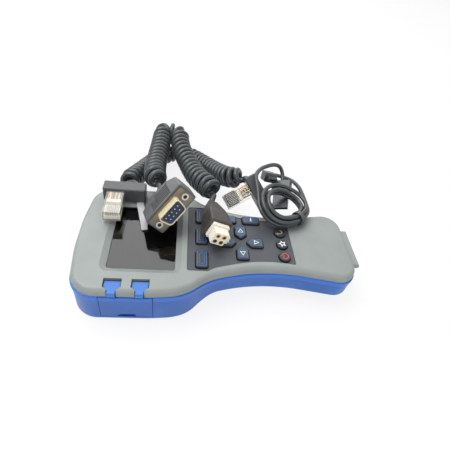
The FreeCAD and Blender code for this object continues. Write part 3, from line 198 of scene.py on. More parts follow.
world = bpy.data.worlds.new("light_tent")
bpy.context.scene.world = world
world.use_nodes = True
tree = world.node_tree
sky = tree.nodes["Background"]
sky.inputs["Color"].default_value = WHITE
sky.inputs["Strength"].default_value = TENT_LIGHT
seen = tree.nodes.new("ShaderNodeBackground")
seen.inputs["Color"].default_value = WHITE
seen.inputs["Strength"].default_value = 1.0
choose = tree.nodes.new("ShaderNodeMixShader")
tree.links.new(seen_directly(tree), choose.inputs[0])
tree.links.new(sky.outputs[0], choose.inputs[1])
tree.links.new(seen.outputs[0], choose.inputs[2])
tree.links.new(choose.outputs[0], tree.nodes["World Output"].inputs["Surface"])


def soft_lamp(name, place, target, size, power):
    """A square lamp that looks at a point."""
    data = bpy.data.lights.new(name, "AREA")
    data.size = size
    data.energy = power
    lamp = bpy.data.objects.new(name, data)
    bpy.context.scene.collection.objects.link(lamp)
    lamp.location = place
    lamp.rotation_euler = (Vector(target) - Vector(place)).to_track_quat("-Z", "Y").to_euler()


for lamp_values in LAMPS:
    soft_lamp(*lamp_values)

# %% [markdown]
# ## Moulded skin
# Every plastic here was moulded in a tool with a fine grain, so one node group makes that grain for all
# of them: a fine noise for the height, and a slow noise that shifts the colour and the gloss a little, as
# handling does.

# %% Node group for moulded plastic and rubber
GRAIN_SIZE = 2500.0
CLOUD_SIZE = 60.0
skin = finish_group("moulded_skin", (
    ("Colour", COLOUR, (0.5, 0.5, 0.5, 1)),
    ("Worn Colour", COLOUR, (0.6, 0.6, 0.6, 1)),
    ("Grain Size", NUMBER, GRAIN_SIZE),
    ("Cloud Size", NUMBER, CLOUD_SIZE),
    ("Gloss Low", NUMBER, 0.4),
    ("Gloss High", NUMBER, 0.5),
))
given = skin.nodes.new("NodeGroupInput")
result = skin.nodes.new("NodeGroupOutput")
where = skin.nodes.new("ShaderNodeTexCoord")
grain = skin.nodes.new("ShaderNodeTexNoise")
grain.inputs["Detail"].default_value = 2.0
cloud = skin.nodes.new("ShaderNodeTexNoise")
cloud.inputs["Detail"].default_value = 4.0
wear = skin.nodes.new("ShaderNodeMapRange")
wear.inputs["From Min"].default_value = 0.42
wear.inputs["From Max"].default_value = 0.72
tint = skin.nodes.new("ShaderNodeMix")
tint.data_type = "RGBA"
gloss = skin.nodes.new("ShaderNodeMapRange")
gloss.inputs["From Min"].default_value = 0.3
gloss.inputs["From Max"].default_value = 0.7
for noise, size in ((grain, "Grain Size"), (cloud, "Cloud Size")):
    skin.links.new(where.outputs["Object"], noise.inputs["Vector"])
    skin.links.new(given.outputs[size], noise.inputs["Scale"])
skin.links.new(cloud.outputs["Fac"], wear.inputs["Value"])
skin.links.new(wear.outputs["Result"], tint.inputs["Factor"])
skin.links.new(given.outputs["Colour"], tint.inputs[MIX_FIRST])
skin.links.new(given.outputs["Worn Colour"], tint.inputs[MIX_SECOND])
skin.links.new(cloud.outputs["Fac"], gloss.inputs["Value"])
skin.links.new(given.outputs["Gloss Low"], gloss.inputs["To Min"])
skin.links.new(given.outputs["Gloss High"], gloss.inputs["To Max"])
skin.links.new(tint.outputs[MIX_RESULT], result.inputs["Colour"])
skin.links.new(gloss.outputs["Result"], result.inputs["Roughness"])
skin.links.new(grain.outputs["Fac"], result.inputs["Height"])


def moulded(name, colour, worn, gloss_range, grain_size=GRAIN_SIZE, depth=0.00002, strength=0.25,
            cloud_size=CLOUD_SIZE):
    """A material with the moulded skin.

    It takes the colour, the colour where it is worn, the least and the most roughness, and the size, the
    depth in metres and the strength of the grain."""
    material, tree, shader = blank_material(name)
    values = {"Colour": tone(*colour), "Worn Colour": tone(*worn), "Grain Size": grain_size,
              "Cloud Size": cloud_size, "Gloss Low": gloss_range[0], "Gloss High": gloss_range[1]}
    put_on(tree, shader, skin, values, strength, depth)
    return material


print("skin inputs", len(given.outputs) - 1)

# %% [markdown]
# ## Brushed and plated metal
# Connector shells are stamped from rolled sheet, so their reflections are drawn out along one direction.
# A noise that is stretched along one axis does that. A second noise drifts the colour of the plating.

# %% Node group for rolled and plated metal
ROLLED_DEPTH = 0.00002
ROLLED_STRENGTH = 0.1
rolled = finish_group("rolled_metal", (
    ("Colour", COLOUR, (0.6, 0.6, 0.6, 1)),
    ("Tarnish", COLOUR, (0.4, 0.4, 0.4, 1)),
    ("Gloss Low", NUMBER, 0.2),
    ("Gloss High", NUMBER, 0.4),
))
given = rolled.nodes.new("NodeGroupInput")
result = rolled.nodes.new("NodeGroupOutput")
where = rolled.nodes.new("ShaderNodeTexCoord")
drawn = rolled.nodes.new("ShaderNodeMapping")
drawn.inputs["Scale"].default_value = (300, 3000, 3000)
lines = rolled.nodes.new("ShaderNodeTexNoise")
lines.inputs["Scale"].default_value = 1.0
stain = rolled.nodes.new("ShaderNodeTexNoise")
stain.inputs["Scale"].default_value = 220.0
stain.inputs["Detail"].default_value = 4.0
tint = rolled.nodes.new("ShaderNodeMix")
tint.data_type = "RGBA"
gloss = rolled.nodes.new("ShaderNodeMapRange")
rolled.links.new(where.outputs["Object"], drawn.inputs["Vector"])
rolled.links.new(drawn.outputs["Vector"], lines.inputs["Vector"])
rolled.links.new(where.outputs["Object"], stain.inputs["Vector"])
rolled.links.new(stain.outputs["Fac"], tint.inputs["Factor"])
rolled.links.new(given.outputs["Colour"], tint.inputs[MIX_FIRST])
rolled.links.new(given.outputs["Tarnish"], tint.inputs[MIX_SECOND])
rolled.links.new(lines.outputs["Fac"], gloss.inputs["Value"])
rolled.links.new(given.outputs["Gloss Low"], gloss.inputs["To Min"])
rolled.links.new(given.outputs["Gloss High"], gloss.inputs["To Max"])
rolled.links.new(tint.outputs[MIX_RESULT], result.inputs["Colour"])
rolled.links.new(gloss.outputs["Result"], result.inputs["Roughness"])
rolled.links.new(lines.outputs["Fac"], result.inputs["Height"])


def plated(name, colour, tarnish, gloss_range, metallic=1.0):
    """A metal material with the rolled finish in its own colours."""
    material, tree, shader = blank_material(name)
    shader.inputs["Metallic"].default_value = metallic
    values = {"Colour": tone(*colour), "Tarnish": tone(*tarnish), "Gloss Low": gloss_range[0],
              "Gloss High": gloss_range[1]}
    put_on(tree, shader, rolled, values, ROLLED_STRENGTH, ROLLED_DEPTH)
    return material


print("metal inputs", len(given.outputs) - 1)

# %% [markdown]
# ## The finishes of this object
# Each finish is one call with this object's colours. The housing is matt, the cords have the soft shine
# of vinyl, and the screen is polished. The blue shell takes a brighter second colour above a height, which
# is painted light: its rim band is lit more than the wall below. Clear plastic that isn't quite clear has a
# milky haze.

# %% Finishes
# Painted light: the brighter blue of the rim band, above this height, stands for the light that falls on
# it.
LIT_RIM_HEIGHT = (0.0211, 0.0215)
LIT_RIM_BLUE = (36, 104, 198)
PLUG_TONE = (0.96, 0.95, 0.92, 1)
PLUG_RIPPLE = 700.0
PLUG_GLOSS = (0.01, 0.06)


def past_line(tree, axis, start, end):
    """A mask that rises from 0 to 1 along an axis of the object, between two places on it."""
    where = tree.nodes.new("ShaderNodeTexCoord")
    reach = tree.nodes.new("ShaderNodeVectorMath")
    reach.operation = "DOT_PRODUCT"
    reach.inputs[1].default_value = axis
    rise = tree.nodes.new("ShaderNodeMapRange")
    rise.inputs["From Min"].default_value = start
    rise.inputs["From Max"].default_value = end
    tree.links.new(where.outputs["Object"], reach.inputs[0])
    tree.links.new(reach.outputs["Value"], rise.inputs["Value"])
    return rise.outputs["Result"]


def second_colour(material, colour, mask):
    """Puts another colour over a material's own where a mask is 1."""
    tree = material.node_tree
    base = tree.nodes["Principled BSDF"].inputs["Base Color"]
    mix = tree.nodes.new("ShaderNodeMix")
    mix.data_type = "RGBA"
    mix.inputs[MIX_SECOND].default_value = tone(*colour)
    tree.links.new(mask, mix.inputs["Factor"])
    tree.links.new(base.links[0].from_socket, mix.inputs[MIX_FIRST])
    tree.links.new(mix.outputs[MIX_RESULT], base)


def see_through(name, colour, clarity, refraction, ripple_size, gloss_range):
    """A clear material with a rippled gloss. What it lacks in clarity is a milky haze."""
    material, tree, shader = blank_material(name)
    shader.inputs["Base Color"].default_value = colour
    shader.inputs["Transmission Weight"].default_value = clarity
    shader.inputs["IOR"].default_value = refraction
    ripple = tree.nodes.new("ShaderNodeTexNoise")
    ripple.inputs["Scale"].default_value = ripple_size
    haze = tree.nodes.new("ShaderNodeMapRange")
    haze.inputs["To Min"].default_value = gloss_range[0]
    haze.inputs["To Max"].default_value = gloss_range[1]
    where = tree.nodes.new("ShaderNodeTexCoord")
    tree.links.new(where.outputs["Object"], ripple.inputs["Vector"])
    tree.links.new(ripple.outputs["Fac"], haze.inputs["Value"])
    tree.links.new(haze.outputs["Result"], shader.inputs["Roughness"])
    return material


grey_shell = moulded("grey_shell", (134, 140, 138), (141, 147, 145), (0.4, 0.5), 3200.0, 0.00003, 0.3)
blue_shell = moulded("blue_shell", (32, 88, 168), (50, 104, 182), (0.3, 0.42), 3000.0, 0.00002, 0.2)
# Painted light on the rim band of the blue shell and of the door.
second_colour(blue_shell, LIT_RIM_BLUE, past_line(blue_shell.node_tree, (0, 0, 1), *LIT_RIM_HEIGHT))
blue_strap = moulded("blue_strap", (42, 104, 184), (56, 116, 194), (0.36, 0.48), 2600.0, 0.00002, 0.2)
panel_plastic = moulded("panel_plastic", (62, 65, 71), (70, 73, 79), (0.5, 0.6), 4200.0, 0.00003, 0.35)
key_rubber = moulded("key_rubber", (30, 35, 45), (37, 43, 54), (0.4, 0.52), 3600.0, 0.00002, 0.25)
black_mould = moulded("black_mould", (68, 71, 72), (79, 82, 83), (0.3, 0.42), 2200.0, 0.00003, 0.3)
# A lighter copy of the black moulding, as painted light: the hood's upper facet is lit brighter.
hood_lit_plastic = moulded("hood_lit_plastic", (88, 90, 91), (102, 104, 105), (0.3, 0.42), 2200.0, 0.00003, 0.3)
boot_rubber = moulded("boot_rubber", (52, 49, 48), (84, 76, 72), (0.4, 0.55), 1500.0, 0.00005, 0.4)
cord_jacket = moulded("cord_jacket", (54, 59, 61), (64, 69, 71), (0.26, 0.36), 1800.0, 0.00002, 0.2, 90.0)
# Black rubber of the seal; the same finish is painted shade in the slits of the hood's ribs.
seal_rubber = moulded("seal_rubber", (20, 20, 21), (28, 28, 29), (0.6, 0.7))
white_nylon = moulded("white_nylon", (236, 230, 214), (246, 242, 230), (0.38, 0.5), 1800.0, 0.00002, 0.2)
navy_insert = moulded("navy_insert", (10, 38, 70), (16, 46, 80), (0.35, 0.45))
board_coat = moulded("board_coat", (24, 92, 52), (34, 104, 60), (0.3, 0.4), 900.0)
cell_sleeve = moulded("cell_sleeve", (88, 90, 94), (100, 102, 106), (0.25, 0.35), 1200.0)
# Black of the jack and of the second plug's carrier; the same finish is painted shade in the nine-way holes
# and the four-way cavities.
socket_black_and_shade = moulded("socket_black_and_shade", (24, 24, 26), (32, 32, 34), (0.3, 0.4))
latch_plastic = moulded("latch_plastic", (168, 169, 171), (196, 197, 198), (0.16, 0.28), 1500.0)
display_black = moulded("display_black", (5, 6, 7), (9, 10, 11), (0.2, 0.3), 5000.0, 0.00001, 0.05)
nickel = plated("nickel", (205, 204, 200), (170, 168, 162), (0.18, 0.34))
zinc = plated("zinc", (176, 176, 172), (140, 140, 136), (0.28, 0.45))
tinned = plated("tinned", (112, 114, 118), (88, 90, 94), (0.42, 0.55))
bronze = plated("bronze", (142, 134, 118), (108, 101, 88), (0.3, 0.46))
shell_plate = plated("shell_plate", (240, 228, 196), (222, 204, 164), (0.22, 0.36), metallic=0.35)
gold = plated("gold", (214, 172, 96), (186, 142, 70), (0.2, 0.32))
glass = see_through("screen_glass", (0.75, 0.77, 0.78, 1), 1.0, 1.7, 90.0, (0.03, 0.08))
milky_plastic = see_through("milky_plastic", PLUG_TONE, 0.8, 1.3, PLUG_RIPPLE, PLUG_GLOSS)
clear_plastic = see_through("clear_plastic", PLUG_TONE, 0.97, 1.3, PLUG_RIPPLE, PLUG_GLOSS)
print("finishes", len(bpy.data.materials))

# %% [markdown]
# ## Dressing the CAD pieces
# A CAD node keeps its shape and only gets a finish. A table of finish to pieces is shorter and easier to
# check than a line for each piece.

# %% Finish of each CAD piece
KEYS = ("softkey_left", "softkey_middle", "softkey_right", "arrow_down", "arrow_right", "arrow_up",
        "arrow_left", "plus_key", "minus_key", "power_key", "star_key", "return_key")
DRESS = (
    (grey_shell, ("front_shell",)),
    (blue_shell, ("back_shell", "battery_cover", "port_door")),
    (blue_strap, ("door_tethers",)),
    (seal_rubber, ("perimeter_seal",)),
    (glass, ("screen_window",)),
    (display_black, ("display_module",)),
    (panel_plastic, ("keypad_panel",)),
    (key_rubber, KEYS),
    (board_coat, ("main_board", "io_board")),
    (nickel, ("dome_switches", "usb_socket", "card_slot", "battery_contacts", "lead_a_nuts")),
    (tinned, ("usb_a_shell", "usb_mini_shell")),
    (zinc, ("board_screws", "case_screws", "cover_screws")),
    (socket_black_and_shade, ("modular_jack",)),
    (cell_sleeve, ("battery_cells",)),
    (black_mould, ("lead_a_block", "lead_b_block", "usb_a_mould", "usb_mini_mould", "usb_lead_tie")),
    (hood_lit_plastic, ("lead_a_hood",)),
    (milky_plastic, ("lead_a_plug",)),
    (clear_plastic, ("lead_b_plug",)),
    (bronze, ("lead_a_plate",)),
    (white_nylon, ("lead_b_housing",)),
)
for finish, names in DRESS:
    for name in names:
        nodes[name].data.materials.clear()
        nodes[name].data.materials.append(finish)
print("dressed", sum(len(names) for finish, names in DRESS))

# %% [markdown]
# ## Marks on the keys
# The keys are dark rubber. A soft key carries two blue lines, and an arrow, plus or minus key a blue face
# with a brighter edge and a pale sign. Print has a visible edge, so each mark is a real thin layer: an
# outline of a few corners, rounded, reduced to its border where only a line is printed, and given a
# thickness. A mark rides on its own key, because the key moves.

# %% Printed marks
INK = 0.00006
FIRST_LAYER = 1
EDGE_LAYER = 2
SIGN_LAYER = 2.5
EDGE_LINE = 0.4
OUTER_LINE = (6.4, 12.2)
INNER_LINE = (3.4, 8.8)
BAR_FACE = (10.6, 5.6)
SIGN_BAR = (0.7, 3.0)
CROSS_BAR = (3.0, 0.7)
ARROW_HUB = (12.7, -3.9)
ARROW_FACE = ((4.3, 0.0), (7.3, -3.1), (13.9, -3.1), (13.9, 3.1), (7.3, 3.1))
ARROW_SIGN = ((8.7, -2.0), (12.3, 0.0), (8.7, 2.0))


def ink(colour_name, colour, worn, gloss_range=(0.45, 0.55)):
    """A printing ink, which is a moulded skin with a very fine grain."""
    return moulded("print_" + colour_name, colour, worn, gloss_range, 4000.0, 0.00001, 0.2)


print_blue = ink("blue", (52, 68, 94), (62, 80, 106), (0.4, 0.5))
print_line = ink("line", (58, 92, 140), (66, 102, 152), (0.4, 0.5))
print_pale = ink("pale", (206, 232, 206), (220, 240, 218))
print_white = ink("white", (236, 236, 228), (244, 244, 238))
print_red = ink("red", (200, 78, 84), (210, 92, 96))
print_olive = ink("olive", (150, 142, 84), (162, 154, 96))


def new_piece(name, shape, finishes, body, place=None):
    """A mesh object from a bmesh, put in place by a matrix if there is one, and riding on a body."""
    if place:
        bmesh.ops.transform(shape, matrix=place, verts=shape.verts)
    bmesh.ops.recalc_face_normals(shape, faces=shape.faces)
    mesh = bpy.data.meshes.new(name)
    shape.to_mesh(mesh)
    shape.free()
    for finish in finishes:
        mesh.materials.append(finish)
    piece = bpy.data.objects.new(name, mesh)
    bpy.context.scene.collection.objects.link(piece)
    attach(piece, body)
    return piece


def round_off(shape, geom, offset, segments, affect="EDGES"):
    """Rounds edges, or the corners of a flat face, by an offset in millimetres."""
    bmesh.ops.bevel(shape, geom=geom, offset=offset * MM, affect=affect, segments=segments, profile=0.5,
                    material=-1)


def lay_ink(shape, key, kind, finish, layer, x=0.0, y=0.0):
    """Gives a flat shape the thickness of ink and lays it on a key, moved by x and y in millimetres."""
    bmesh.ops.solidify(shape, geom=shape.faces[:], thickness=INK)
    low = min(v.co.z for v in shape.verts)
    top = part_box(key)[1][2]
    bmesh.ops.translate(shape, verts=shape.verts, vec=(x * MM, y * MM, top + layer * INK - low))
    new_piece(key + "_" + kind, shape, [finish], key)


def key_mark(key, kind, corners, finish, layer=FIRST_LAYER, line=0.0, rounding=0.0):
    """A printed layer on a key, from corners in millimetres: filled, or only a border line."""
    shape = bmesh.new()
    shape.faces.new([shape.verts.new((x * MM, y * MM, 0)) for x, y in corners])
    shape.normal_update()
    if rounding:
        round_off(shape, shape.verts[:], rounding, segments=4, affect="VERTICES")
    if line:
        border = bmesh.ops.inset_region(shape, faces=shape.faces[:], thickness=line * MM, use_boundary=True,
                                        use_even_offset=True)
        middle = [f for f in shape.faces if f not in border["faces"]]
        bmesh.ops.delete(shape, geom=middle, context="FACES")
    lay_ink(shape, key, kind, finish, layer)


def middle_of(key):
    """The middle of a key in millimetres, seen from above."""
    low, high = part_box(key)
    return (low[0] + high[0]) / 2 / MM, (low[1] + high[1]) / 2 / MM


def patch(key, left, right, near, far):
    """Corners of a rectangle on a key, measured from the key's middle."""
    x, y = middle_of(key)
    return [(x + left, y + near), (x + right, y + near), (x + right, y + far), (x + left, y + far)]


def oblong(key, length, width):
    """Corners of a rectangle in the middle of a key."""
    return patch(key, -length / 2, length / 2, -width / 2, width / 2)


def turned(corners, centre, angle):
    """Corners turned about the origin, then moved to a centre."""
    return [(centre[0] + x * math.cos(angle) - y * math.sin(angle),
             centre[1] + x * math.sin(angle) + y * math.cos(angle)) for x, y in corners]


for key in ("softkey_left", "softkey_middle", "softkey_right"):
    key_mark(key, "outer_line", oblong(key, *OUTER_LINE), print_line, line=0.5, rounding=0.9)
    key_mark(key, "inner_line", oblong(key, *INNER_LINE), print_line, line=0.4, rounding=0.5)
for key in ("plus_key", "minus_key"):
    key_mark(key, "face", oblong(key, *BAR_FACE), print_blue, rounding=0.8)
    key_mark(key, "edge", oblong(key, *BAR_FACE), print_line, EDGE_LAYER, EDGE_LINE, 0.8)
    key_mark(key, "sign", oblong(key, *SIGN_BAR), print_white, SIGN_LAYER)
key_mark("plus_key", "cross_bar", oblong("plus_key", *CROSS_BAR), print_white, SIGN_LAYER)
for key, quarter in (("arrow_right", 0), ("arrow_up", 1), ("arrow_left", 2), ("arrow_down", 3)):
    angle = quarter * math.pi / 2
    key_mark(key, "face", turned(ARROW_FACE, ARROW_HUB, angle), print_blue, rounding=0.7)
    key_mark(key, "edge", turned(ARROW_FACE, ARROW_HUB, angle), print_line, EDGE_LAYER, EDGE_LINE, 0.7)
    key_mark(key, "sign", turned(ARROW_SIGN, ARROW_HUB, angle), print_pale, SIGN_LAYER, EDGE_LINE)

# %% [markdown]
# ## Signs of the three round keys
# A star is a ring of ten points with every second one drawn in. The ring of the power sign and the bent
# shaft of the return sign are arcs, so they are spun: a short line is swept round the middle of the key.

# %% Round key signs
STAR_OUTER = 3.0
STAR_INNER = 1.35
STAR_LINE = 0.55
POWER_RADIUS = 2.3
POWER_WIDTH = 0.62
POWER_GAP = 1.1
POWER_BAR = (-3.0, -0.2, -0.3, 0.3)
RETURN_RADIUS = 1.5
RETURN_WIDTH = 0.7
RETURN_SHAFT = (-1.6, 0.0, -1.85, -1.15)
RETURN_HEAD = ((-3.0, -1.5), (-1.5, -2.7), (-1.5, -0.3))


def star_corners(centre, outer, inner):
    """The ten corners of a star, the outer and inner ones in turn."""
    return [(centre[0] + r * math.cos(a), centre[1] + r * math.sin(a))
            for r, a in ((outer if k % 2 == 0 else inner, math.pi + k * math.pi / 5) for k in range(10))]


def key_arc(key, kind, radius, width, first, sweep, finish):
    """A printed arc on a key: a short line swept round the key's middle."""
    shape = bmesh.new()
    ends = [shape.verts.new((r * math.cos(first) * MM, r * math.sin(first) * MM, 0))
            for r in (radius - width / 2, radius + width / 2)]
    edge = shape.edges.new(ends)
    bmesh.ops.spin(shape, geom=[*ends, edge], cent=(0, 0, 0), axis=(0, 0, 1), angle=sweep, steps=24)
    lay_ink(shape, key, kind, finish, FIRST_LAYER, *middle_of(key))


key_mark("star_key", "sign", star_corners(middle_of("star_key"), STAR_OUTER, STAR_INNER), print_white,
         line=STAR_LINE)
key_arc("power_key", "ring", POWER_RADIUS, POWER_WIDTH, math.pi + POWER_GAP / 2, math.tau - POWER_GAP,
        print_red)
key_mark("power_key", "bar", patch("power_key", *POWER_BAR), print_red)
key_arc("return_key", "bend", RETURN_RADIUS, RETURN_WIDTH, -math.pi / 2, math.pi, print_olive)
key_mark("return_key", "shaft", patch("return_key", *RETURN_SHAFT), print_olive)
key_mark("return_key", "head", turned(RETURN_HEAD, middle_of("return_key"), 0), print_olive)

# %% [markdown]
# ## Inside the clear plugs
# The plugs are clear, so what they hold is seen: eight coloured wires side by side over their jacket, a
# bar that clamps them, and eight blades on a carrier. All of it is made in the plug's own directions and
# then put in place by the matrix of that plug, whose columns are the way it points, its width and its
# top.

# %% Wires and blades
WIRE_TONES = ((222, 160, 112), (236, 230, 214), (216, 158, 150), (150, 168, 128), (236, 218, 160),
              (150, 158, 186), (232, 226, 208), (168, 140, 116))
WIRES = len(WIRE_TONES)
ON_BAR = WIRES
ON_JACKET = WIRES + 1
ON_CARRIER = WIRES + 2
WORN_WIRE = 12
WIRE_PITCH = 1.15
WIRE_SPAN = (-0.2, 7.6)
WIRE_HEIGHT = 2.2
WIRE_RADIUS = 0.54
JACKET_HEIGHT = -1.0
JACKET_RADIUS = 2.2
BAR = ((7.8, -4.7, -2.2), (10.6, 4.7, 3.2))
BLADE_SPAN = (12.2, 19.4)
BLADE_HALF = 0.2
BLADE_FOOT = -1.2
BLADE_TOP = 1.6
BLADE_RISE = 0.2
CARRIER_LOW = (11.6, -5.1, -3.0)
CARRIER_FAR = (20.0, 5.1)


def place_matrix(origin, ahead, across, up):
    """The matrix of a lead end: x runs out of its mouth, y across it and z to its top."""
    turn = Matrix((ahead, across, up)).transposed().to_4x4()
    return Matrix.Translation(Vector(origin) * MM) @ turn


PLUG_A = place_matrix((-75.2, 29.4, 37.3), (0, -1, 0), (1, 0, 0), (0, 0, 1))
PLUG_B = place_matrix((22.5, 48.0, 36.0), (-0.85, -0.37, -0.375), (0.5225, -0.6826, -0.511),
                      (-0.0669, -0.6303, 0.7735))
wire_finishes = [moulded("wire_" + str(k), colour, [min(255, c + WORN_WIRE) for c in colour], (0.4, 0.5))
                 for k, colour in enumerate(WIRE_TONES)]


def give_finish(verts, finish):
    """Gives the faces round these vertices a finish, by its number on the piece."""
    for face in {f for v in verts for f in v.link_faces}:
        face.material_index = finish


def rod_along(shape, start, end, y, z, radius, finish=0):
    """A round rod along x, in millimetres."""
    made = bmesh.ops.create_cone(shape, cap_ends=True, segments=12, radius1=radius * MM,
                                 radius2=radius * MM, depth=(end - start) * MM)["verts"]
    spin = Matrix.Rotation(math.pi / 2, 4, "Y")
    place = Matrix.Translation(Vector(((start + end) / 2, y, z)) * MM)
    bmesh.ops.transform(shape, matrix=place @ spin, verts=made)
    give_finish(made, finish)


def block_at(shape, low, high, finish=0):
    """A block between two corners, in millimetres."""
    made = bmesh.ops.create_cube(shape, size=MM)["verts"]
    size = [b - a for a, b in zip(low, high)]
    middle = [(a + b) / 2 for a, b in zip(low, high)]
    bmesh.ops.scale(shape, vec=size, verts=made)
    bmesh.ops.translate(shape, vec=Vector(middle) * MM, verts=made)
    give_finish(made, finish)


def plug_inside(letter, place, carrier, carrier_top):
    """The wires, the bar that holds them, and the blades on their carrier."""
    wires = bmesh.new()
    blades = bmesh.new()
    blade_top = max(BLADE_TOP, carrier_top + BLADE_RISE)
    for k in range(WIRES):
        y = (k - (WIRES - 1) / 2) * WIRE_PITCH
        rod_along(wires, *WIRE_SPAN, y, WIRE_HEIGHT, WIRE_RADIUS, k)
        block_at(blades, (BLADE_SPAN[0], y - BLADE_HALF, BLADE_FOOT),
                 (BLADE_SPAN[1], y + BLADE_HALF, blade_top))
    block_at(wires, CARRIER_LOW, (*CARRIER_FAR, carrier_top), ON_CARRIER)
    block_at(wires, *BAR, ON_BAR)
    rod_along(wires, WIRE_SPAN[0], BAR[0][0], 0, JACKET_HEIGHT, JACKET_RADIUS, ON_JACKET)
    finishes = [*wire_finishes, white_nylon, cord_jacket, carrier]
    new_piece("plug_" + letter + "_wires", wires, finishes, "handset", place)
    new_piece("plug_" + letter + "_blades", blades, [nickel], "handset", place)


plug_inside("a", PLUG_A, white_nylon, -0.6)
plug_inside("b", PLUG_B, socket_black_and_shade, 3.3)
print("plug wires", WIRES * 2)

# %% [markdown]
# ## The nine-way connector
# Its shell is shaped like a D, so that it fits one way only. The outline is pulled out of the plate, its
# front is inset to leave the wall of the shell, and the middle is pushed back as the blue insert. Each
# hole shows a bright contact in a dark disc, which is painted shade for the inside of the hole. The hood
# behind the plate has ribs for the fingers on a near-black bed, which is painted shade in the slits
# between them. The hood and its ribs take a lighter copy of the black moulding, as painted light.

# %% Nine-way connector
NINE_WAY = place_matrix((-35.7, 6.5, 48.36), (0.2619, -0.9166, 0.3022), (0.6182, 0.3997, 0.6768),
                        (-0.7411, 0.0096, 0.6713))
SHELL_OUTLINE = ((-9.3, 4.9), (9.3, 4.9), (7.6, -4.9), (-7.6, -4.9))
SHELL_CORNER = 2.3
SHELL_REACH = 6.1
SHELL_WALL = 0.6
INSERT_DROP = 0.5
INSERT_FRONT = SHELL_REACH - INSERT_DROP
CONTACT_ROWS = ((5, 1.42), (4, -1.42))
CONTACT_PITCH = 2.77
CONTACT_ROOT = INSERT_FRONT - 0.2
CONTACT_TIP = INSERT_FRONT + 0.12
CONTACT_RADIUS = 0.42
# Painted shade: a dark disc round each contact stands for the shade inside its hole.
HOLE_SHADE_TIP = INSERT_FRONT + 0.06
HOLE_SHADE_RADIUS = 0.78
RIBS = 6
RIB_PITCH = 2.3
RIB_SPAN = (-6.3, -5.4)
RIB_LOW = (-2.9, 7.0)
RIB_HIGH = (7.9, 8.0)
RIB_ROUND = 0.15
# Painted shade: a near-black bed under the ribs darkens the slits between them.
RIB_SHADE_BED = ((-18.2, -3.2, 7.0), (-5.0, 8.2, 7.75))


def pull(shape, faces, reach):
    """Pulls faces along x by a reach in millimetres, and returns them at their new place."""
    made = bmesh.ops.extrude_face_region(shape, geom=faces)["geom"]
    verts = [v for v in made if isinstance(v, bmesh.types.BMVert)]
    bmesh.ops.translate(shape, vec=(reach * MM, 0, 0), verts=verts)
    return [f for f in made if isinstance(f, bmesh.types.BMFace)]


shape = bmesh.new()
shape.faces.new([shape.verts.new((0, y * MM, z * MM)) for y, z in SHELL_OUTLINE])
shape.normal_update()
round_off(shape, shape.verts[:], SHELL_CORNER, segments=6, affect="VERTICES")
pull(shape, shape.faces[:], SHELL_REACH)
bmesh.ops.recalc_face_normals(shape, faces=shape.faces)
front = [f for f in shape.faces if all(v.co.x > SHELL_REACH / 2 * MM for v in f.verts)]
bmesh.ops.inset_region(shape, faces=front, thickness=SHELL_WALL * MM, use_even_offset=True)
insert = pull(shape, front, -INSERT_DROP)
bmesh.ops.delete(shape, geom=front, context="FACES")
for face in insert:
    face.material_index = 1
nine_way_shell = new_piece("nine_way_shell", shape, [shell_plate, navy_insert], "handset",
                           NINE_WAY)
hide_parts("lead_a_insulator")

shape = bmesh.new()
for count, z in CONTACT_ROWS:
    for k in range(count):
        y = (k - (count - 1) / 2) * CONTACT_PITCH
        rod_along(shape, CONTACT_ROOT, HOLE_SHADE_TIP, y, z, HOLE_SHADE_RADIUS, 1)
        rod_along(shape, CONTACT_ROOT, CONTACT_TIP, y, z, CONTACT_RADIUS)
new_piece("nine_way_contacts", shape, [nickel, socket_black_and_shade], "handset", NINE_WAY)

shape = bmesh.new()
for k in range(RIBS):
    back = k * RIB_PITCH
    block_at(shape, (RIB_SPAN[0] - back, *RIB_LOW), (RIB_SPAN[1] - back, *RIB_HIGH))
half_way = (RIB_LOW[1] + RIB_HIGH[1]) / 2 * MM
top_edges = [e for e in shape.edges if all(v.co.z > half_way for v in e.verts)]
round_off(shape, top_edges, RIB_ROUND, segments=2)
# The near-black bed is painted shade for the slits between the ribs.
block_at(shape, *RIB_SHADE_BED, 1)
new_piece("hood_ribs", shape, [hood_lit_plastic, seal_rubber], "handset", NINE_WAY)
print("contacts", sum(count for count, z in CONTACT_ROWS), "ribs", RIBS)

# %% [markdown]
# ## The four-way connector
# A rubber boot narrows from the white housing to the cord. It is a block with one cut across it, whose
# end and cut are drawn in, and whose edges are rounded. A gold sleeve sits in each cavity of the housing:
# half of its section is a loop of corners, which is spun round the middle of the cavity. A dark disc deep
# in each cavity is painted shade for its bottom.

# %% Four-way connector
FOUR_WAY = place_matrix((-4.1, -12.0, 42.3), (0.1201, -0.9912, 0.0551), (0.9136, 0.0887, -0.3969),
                        (0.3885, 0.098, 0.9162))
BOOT = ((-36.0, -8.2, -7.8), (-9.0, 8.2, 7.8))
BOOT_CUT = -24.0
BOOT_NECKS = ((BOOT[0][0], 0.42), (BOOT_CUT, 0.82))
BOOT_ROUND = 1.1
SLEEVE = ((-2.6, 0.86), (0.14, 0.86), (0.14, 1.5), (0.0, 1.5), (0.0, 1.06), (-2.6, 1.06))
